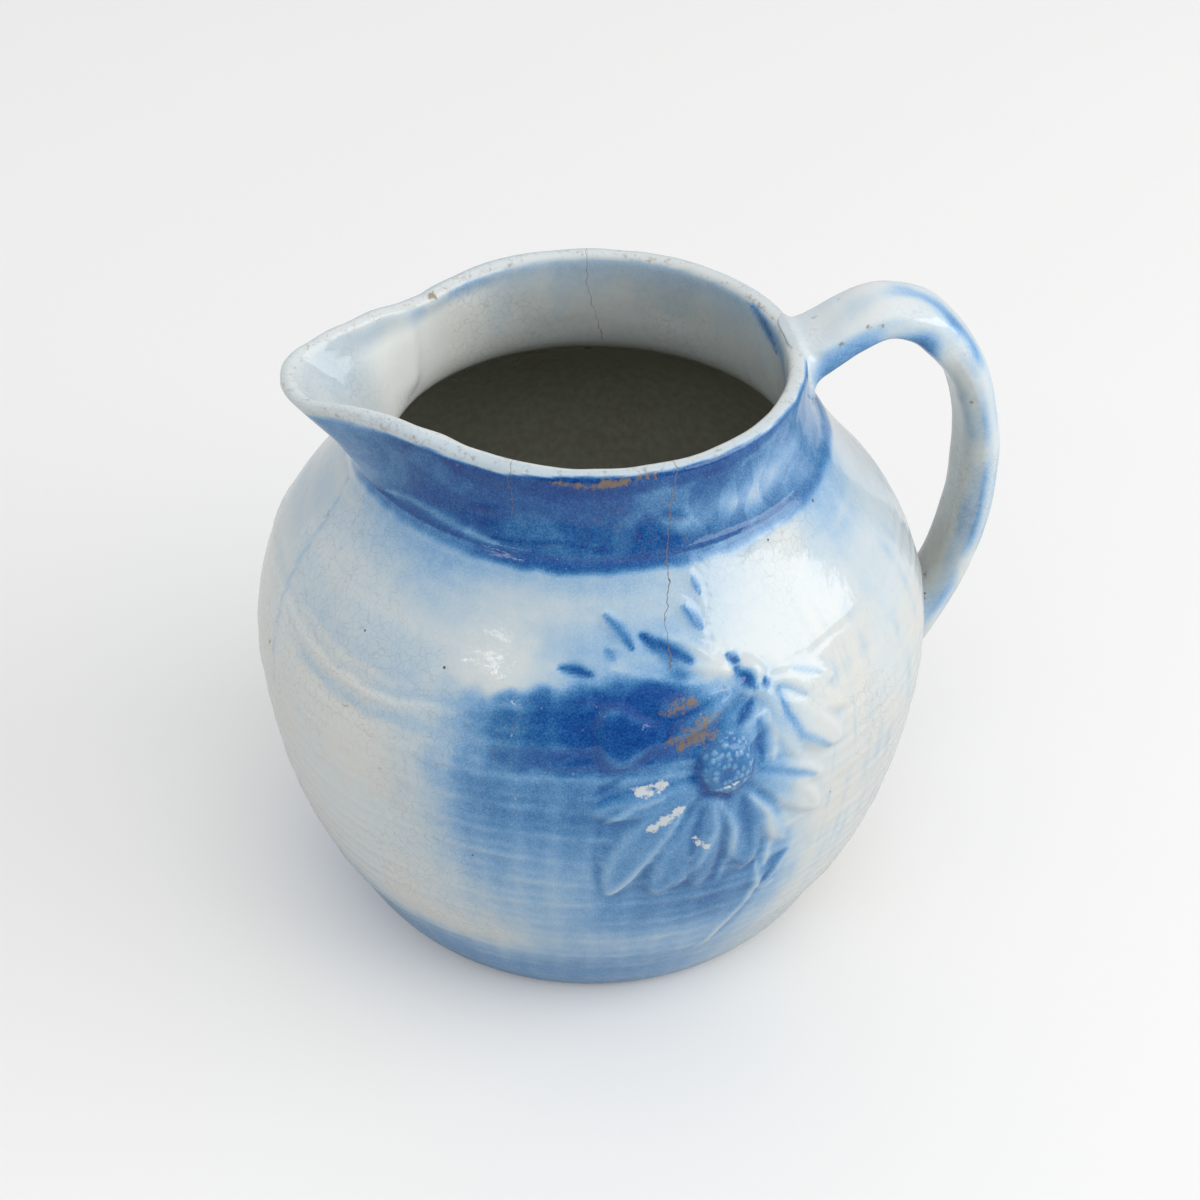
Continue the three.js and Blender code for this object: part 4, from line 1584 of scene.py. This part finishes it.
@dataclass(frozen=True)
class Glaze:
    """The glaze of every piece: a clear, glossy white over cobalt that was sprayed on.

    A piece's own attributes say how much cobalt lies under the glaze, and where it is worn
    through or knocked off. They say where the inside's duller grey takes over, partly a duller
    glaze and partly painted shade of the deep inside; where that grey is laid as painted shade
    on the inner collar and the handle's inner face; and where painted light whitens the inner
    wall beside the lip.
    """

    name: str
    cool_white: tuple = (0.59, 0.625, 0.625, 1)
    warm_white: tuple = (0.625, 0.62, 0.585, 1)
    # the inside's grey: partly a duller glaze, partly painted shade of the deep inside; also laid as painted
    # shade on the inner collar and the handle's inner face
    lining_and_shade: tuple = (0.34, 0.34, 0.27, 1)
    dark_lining_and_shade: tuple = (0.2, 0.2, 0.16, 1)
    # painted light on the inner wall beside the lip
    painted_light_white: tuple = (0.83, 0.84, 0.79, 1)
    clay: tuple = (0.50, 0.40, 0.29, 1)
    bare_clay: tuple = (0.60, 0.62, 0.61, 1)
    brown: tuple = (0.22, 0.15, 0.065, 1)
    speck: tuple = (0.05, 0.04, 0.03, 1)
    line: tuple = (0.17, 0.12, 0.085, 1)
    keeps: tuple = (0.368, 0.60, 0.815)
    milkiness: float = 0.35
    cracks: tuple[Crack, ...] = ()
    crack_radius: float = 0.06
    crazing: float = 0.19
    crazing_scale: float = 390.0
    crazing_bend: tuple = (0.006, 0.006, 0.006)
    speck_kinds: Rows = ((62, 0.83, 0.036), (150, 0.90, 0.06))
    seed_scale: float = 560.0
    foot_height: Point = (0.0001, 0.0003)
    roughness: float = 0.07
    ior: float = 1.46
    bump_strength: float = 0.35
    bump_distance: float = 0.0006

    def dress(self, piece: bpy.types.Object) -> None:
        """Makes the glaze's material and gives it to a piece.

        Args:
            piece: a piece that carries the glaze's attributes.
        """
        n = Finish(self.name)
        colour, rough = self.colours(n)
        n.feed(n.shader, "Base Color", colour)
        n.feed(n.shader, "Roughness", rough)
        n.feed(n.shader, "IOR", self.ior)
        n.feed(n.shader, "Normal", self.surface(n))
        piece.data.materials.clear()
        piece.data.materials.append(n.material)

    def colours(self, n: Nodes) -> tuple[Socket, Socket]:
        """Layers the glaze from the body outwards.

        Args:
            n: the node maker.

        Returns:
            The colour and the roughness.
        """
        cloud = n.noise(38, 3, 0.6)
        sponge = n.noise(420, 3, 0.6)
        height = n.parts(n.place)[2]
        inside = n.attribute("inside")
        lining_and_shade = n.blend(n.step(sponge, 0.25, 0.75, 0.0, 0.5), self.lining_and_shade, self.dark_lining_and_shade)
        colour = self.glazed(n, height, cloud, sponge)
        # painted light whitens the inner wall beside the lip
        colour = n.blend(n.attribute("pale"), colour, self.painted_light_white)
        # the inside's grey, and painted shade where it is laid on the inner collar and the handle
        colour = n.blend(inside, colour, lining_and_shade)
        colour = self.crazed(n, colour)
        colour = self.cracked(n, colour)
        colour = self.specked(n, colour)
        fleck = n.noise(900, 3, 0.65)
        worn = n.add(n.attribute("worn"), n.step(sponge, 0.2, 0.8, -0.4, 0.3),
                     n.step(fleck, 0.25, 0.75, -0.4, 0.35))
        worn = n.step(worn, 0.32, 1.0, 0.0, 0.78)
        colour = n.blend(worn, colour, self.brown)
        bare = n.add(n.attribute("bare"), n.step(sponge, 0.25, 0.75, -0.4, 0.35),
                     n.step(fleck, 0.25, 0.75, -0.2, 0.2))
        bare = n.step(bare, 0.36, 0.76, 0.0, 0.86)
        colour = n.blend(bare, colour, self.bare_clay)
        foot = n.step(height, *self.foot_height, 1.0, 0.0)
        colour = n.blend(foot, colour, self.clay)
        dull = n.math("MAXIMUM", n.math("MAXIMUM", bare, worn), foot)
        gloss = n.step(cloud, 0.3, 0.7, self.roughness, self.roughness + 0.05)
        return colour, n.add(gloss, n.times(dull, 0.5), n.times(inside, 0.2))

    def glazed(self, n: Nodes, height: Socket, cloud: Socket, sponge: Socket) -> Socket:
        """Lays the clear glaze with its cobalt over the white.

        Args:
            n: the node maker.
            height: its height in metres.
            cloud: wide noise.
            sponge: fine noise.

        Returns:
            The colour.
        """
        cobalt = n.attribute("cobalt")
        grain = n.noise(2100, 2, 0.6)
        mottled = n.add(n.step(cloud, 0.25, 0.75, 0.9, 1.1), n.step(sponge, 0.3, 0.7, -0.08, 0.08),
                        n.step(grain, 0.25, 0.75, -0.22, 0.22))
        film = n.times(n.step(sponge, 0.4, 0.8), 0.04)
        depth = n.add(n.times(cobalt, mottled), film, n.times(self.seeds(n)[1], 1.3))
        depth = n.math("MAXIMUM", depth, 0.0)
        # the white is warmer in cloudy patches, and kept cooler toward the top as a painted cool skylight on
        # the shoulder
        warm = n.times(n.step(cloud, 0.35, 0.65), n.step(height, 0.108, 0.128, 1.0, 0.25),
                       n.step(cobalt, 0.1, 0.7, 1.0, 0.0))
        white = n.blend(warm, self.cool_white, self.warm_white)
        milky = n.times(depth, n.step(depth, 0.4, 2.6, self.milkiness, 1.0))
        passed = [n.math("POWER", kept, deep) for kept, deep in zip(self.keeps, (depth, depth, milky))]
        through = n.make("CombineColor", dict(enumerate(passed))).outputs[0]
        return n.blend(1.0, white, through, "MULTIPLY")

    def seeds(self, n: Nodes) -> tuple[Socket, Socket]:
        """Sets fine seeds on a daisy's disc.

        Args:
            n: the node maker.

        Returns:
            How high they stand, and where glaze pools between them.
        """
        spots = n.cells(self.seed_scale).outputs["Distance"]
        seeded = n.attribute("seeded")
        height = n.times(seeded, n.step(spots, 0.1, 0.62, 1.0, 0.0))
        return height, n.times(seeded, n.step(spots, 0.2, 0.66))

    def crazed(self, n: Nodes, colour: Socket) -> Socket:
        """Draws the net of fine crazing, fainter in some places than in others.

        Args:
            n: the node maker.
            colour: what it is drawn on.

        Returns:
            The new colour.
        """
        fed = {0: n.noise(160, output="Color"), 1: self.crazing_bend, 2: n.place}
        bent = n.make("VectorMath", fed, operation="MULTIPLY_ADD").outputs[0]
        net = n.cells(self.crazing_scale, "DISTANCE_TO_EDGE", bent).outputs["Distance"]
        lines = n.step(net, 0.014, 0.05, self.crazing, 0.0)
        shown = n.times(lines, n.step(n.noise(24, 2), 0.46, 0.64))
        return n.blend(shown, colour, self.line)

    def cracked(self, n: Nodes, colour: Socket) -> Socket:
        """Draws the long hairlines that run down from the rim.

        Args:
            n: the node maker.
            colour: what they are drawn on.

        Returns:
            The new colour.
        """
        if not self.cracks:
            return colour
        x, y, z = n.parts(n.place)
        azimuth = n.math("ARCTAN2", y, x)
        jag = n.add(n.step(n.noise(90, 1), 0.2, 0.8, -0.022, 0.022),
                    n.step(n.noise(420, 2), 0.2, 0.8, -0.008, 0.008))
        for crack in self.cracks:
            (west, low), (east, high) = crack.low, crack.high
            slope = math.radians(east - west) / ((high - low) * MM)
            start = math.radians(west) - slope * low * MM
            course = n.math("MULTIPLY_ADD", z, slope, start)
            off = n.math("ABSOLUTE", n.math("SUBTRACT", n.math("SUBTRACT", azimuth, course), jag))
            wide = crack.width * MM / self.crack_radius
            line = n.times(
                n.step(off, 0.4 * wide, 1.2 * wide, crack.strength, 0.0),
                n.step(z, (low - 1) * MM, (low + 1) * MM),
                n.step(z, (high - 1) * MM, (high + 1) * MM, 1.0, 0.0),
            )
            colour = n.blend(line, colour, self.line)
        return colour

    def specked(self, n: Nodes, colour: Socket) -> Socket:
        """Scatters pinholes and iron specks.

        Args:
            n: the node maker.
            colour: what they are scattered on.

        Returns:
            The new colour.
        """
        for scale, rarity, size in self.speck_kinds:
            spots = n.cells(scale)
            pick = n.parts(spots.outputs["Color"], "Color")[0]
            dot = n.step(spots.outputs["Distance"], 0.5 * size, size, 0.9, 0.0)
            colour = n.blend(n.times(dot, n.step(pick, rarity, rarity + 0.01)), colour, self.speck)
        return colour

    def surface(self, n: Nodes) -> Socket:
        """Bumps up the soft unevenness of thick glaze, and the grit where it is bare.

        Args:
            n: the node maker.

        Returns:
            The shading normal.
        """
        swell = n.times(n.noise(120, 3, 0.5), 0.85)
        peel = n.times(n.noise(420, 2, 0.5), 0.32)
        grit = n.times(n.noise(2200, 2), 0.15)
        bare = n.step(n.add(n.attribute("bare"), n.attribute("worn")), 0.5, 0.9)
        height = n.add(swell, peel, n.times(self.seeds(n)[0], 2.2), n.times(grit, bare))
        fed = {"Strength": self.bump_strength, "Distance": self.bump_distance, "Height": height}
        return n.make("Bump", fed).outputs["Normal"]


@dataclass(frozen=True)
class Lamp:
    """An area lamp that faces the pitcher: degrees, metres and watts."""

    name: str
    azimuth: float
    elevation: float
    distance: float
    size: Point
    power: float
    colour: tuple = (1, 1, 1)
    reflected: bool = True


@dataclass(frozen=True)
class Studio:
    """The pale floor, the soft light and the camera at the photograph's angle."""

    camera_place: tuple = (-0.1409, -0.6354, 0.5752)
    heading: float = 12.71
    pitch: float = 36.98
    roll: float = 0.57
    lens: float = 90.0
    floor_colour: tuple = (0.838, 0.832, 0.818, 1)
    glow: float = 0.17
    sky_colour: tuple = (0.97, 0.985, 1.0, 1)
    sky_strength: float = 0.80
    front_strength: float = 0.08
    backdrop_colour: tuple = (0.86, 0.86, 0.855, 1)
    sensor: float = 36.0
    aim_height: float = 0.09
    floor_size: float = 9.0
    floor_drop: float = 0.00005
    floor_shade: float = 0.985
    dimmed: tuple = (-0.18, -0.96, -0.22)
    lamps: tuple[Lamp, ...] = (
        Lamp("window", -24, 27, 1.7, (1.65, 0.76), 13.0, (0.985, 0.99, 1.0)),
        Lamp("glint", -144, 38.3, 1.6, (0.40, 0.05), 0.5),
        Lamp("above", -88, 60, 1.7, (1.2, 0.9), 6.5, (1.0, 0.99, 0.97), reflected=False),
    )

    def camera(self) -> None:
        """Sets the camera where the photograph was taken from."""
        h, p, r = (math.radians(v) for v in (self.heading, self.pitch, self.roll))
        forward = Vector((math.sin(h) * math.cos(p), math.cos(h) * math.cos(p), -math.sin(p)))
        level = forward.cross(Vector((0, 0, 1))).normalized()
        upright = level.cross(forward)
        right = math.cos(r) * level + math.sin(r) * upright
        up = math.cos(r) * upright - math.sin(r) * level
        data = bpy.data.cameras.new("camera")
        data.lens = self.lens
        data.sensor_width = self.sensor
        camera = bpy.data.objects.new("camera", data)
        bpy.context.scene.collection.objects.link(camera)
        turned = Matrix((right, up, -forward)).transposed().to_4x4()
        camera.matrix_world = Matrix.Translation(Vector(self.camera_place)) @ turned
        bpy.context.scene.camera = camera

    def hang(self, lamp: Lamp) -> None:
        """Hangs a lamp.

        Args:
            lamp: which one.
        """
        a, e = math.radians(lamp.azimuth), math.radians(lamp.elevation)
        back = Vector((math.cos(a) * math.cos(e), math.sin(a) * math.cos(e), math.sin(e)))
        data = bpy.data.lights.new(lamp.name, "AREA")
        data.shape = "RECTANGLE"
        data.size, data.size_y = lamp.size
        data.energy = lamp.power
        data.color = lamp.colour
        hung = bpy.data.objects.new(lamp.name, data)
        bpy.context.scene.collection.objects.link(hung)
        hung.location = Vector((0, 0, self.aim_height)) + back * lamp.distance
        hung.rotation_mode = "QUATERNION"
        hung.rotation_quaternion = back.to_track_quat("Z", "Y")
        hung.visible_glossy = lamp.reflected

    def lights(self) -> None:
        """Hangs the lamps and spreads the sky."""
        for lamp in self.lamps:
            self.hang(lamp)
        self.sky()

    def sky(self) -> None:
        """Spreads a soft sky that is dimmer on the viewer's side, and an even grey behind it all.

        A reflection shows the dimmer side as it is; what lights the clay directly doesn't.
        """
        world = bpy.data.worlds.new("studio")
        bpy.context.scene.world = world
        world.use_nodes = True
        n = Nodes(world.node_tree, "Generated")
        facing = n.make("VectorMath", {0: n.place, 1: self.dimmed}, operation="DOT_PRODUCT")
        dim = n.step(facing.outputs["Value"], 0.1, 0.9, self.sky_strength, self.front_strength)
        ray = n.make("LightPath").outputs
        strength = n.make("Mix", {"Factor": ray["Is Glossy Ray"], "A": self.sky_strength, "B": dim})
        lit = n.make("Background", {"Color": self.sky_colour, "Strength": strength.outputs["Result"]})
        seen = n.make("Background", {"Color": self.backdrop_colour})
        mix = n.make("MixShader", {0: ray["Is Camera Ray"], 1: lit.outputs[0], 2: seen.outputs[0]})
        n.make("OutputWorld", {0: mix.outputs[0]})

    def floor(self) -> bpy.types.Object:
        """Lays the pale floor just under the foot.

        Returns:
            The floor.
        """
        bpy.ops.object.select_all(action="DESELECT")
        bpy.ops.mesh.primitive_plane_add(size=self.floor_size, location=(0, 0, -self.floor_drop))
        floor = bpy.context.active_object
        floor.name = "floor"
        n = Finish("floor_paper")
        shade = tuple(self.floor_shade * c for c in self.floor_colour[:3])
        lit, shade = (tuple((1 - self.glow) * c for c in v[:3]) + (1,) for v in (self.floor_colour, shade))
        n.feed(n.shader, "Base Color", n.blend(n.noise(3, 2), lit, shade))
        n.feed(n.shader, "Roughness", 0.9)
        n.feed(n.shader, "Specular IOR Level", 0.1)
        n.feed(n.shader, "Emission Color", self.backdrop_colour)
        seen = n.make("LightPath").outputs["Is Camera Ray"]
        n.feed(n.shader, "Emission Strength", n.times(seen, self.glow))
        floor.data.materials.append(n.material)
        return floor


def main() -> None:
    """Builds the pitcher piece by piece, dresses it and sets the studio round it."""
    logging.basicConfig(level=logging.INFO, format="%(name)s: %(message)s")
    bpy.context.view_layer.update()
    bpy.context.scene.view_settings.view_transform = "Standard"
    studio = Studio()
    studio.camera()
    studio.lights()
    studio.floor()

    cracks = (
        Crack((-88.6, 120.0), (-79.6, 164.5)),
        Crack((-123.6, 150.0), (-124.4, 164.5), 0.13, 0.7),
        Crack((74.7, 135.0), (80.7, 164.5), 0.14, 0.7),
    )
    wall = Wall()
    crock = Crock(wall, Lip(), BellyDecor(), CollarDecor())
    pieces = crock.build()
    Glaze("belly_glaze", cracks=cracks[:1]).dress(pieces[Side.BELLY])
    Glaze("collar_glaze", cracks=cracks, keeps=(0.368, 0.586, 0.795)).dress(pieces[Side.COLLAR])
    handle = Handle(wall).build()
    whiter = {"cool_white": (0.665, 0.70, 0.70, 1), "warm_white": (0.68, 0.67, 0.635, 1)}
    Glaze("handle_glaze", crazing=0.2, **whiter).dress(handle)
    for piece in (*pieces.values(), handle):
        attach(piece, "root")
        faces = sum(len(p.vertices) - 2 for p in piece.data.polygons)
        log.info("%s: %d triangles", piece.name, faces)


if __name__ == "__main__":
    main()
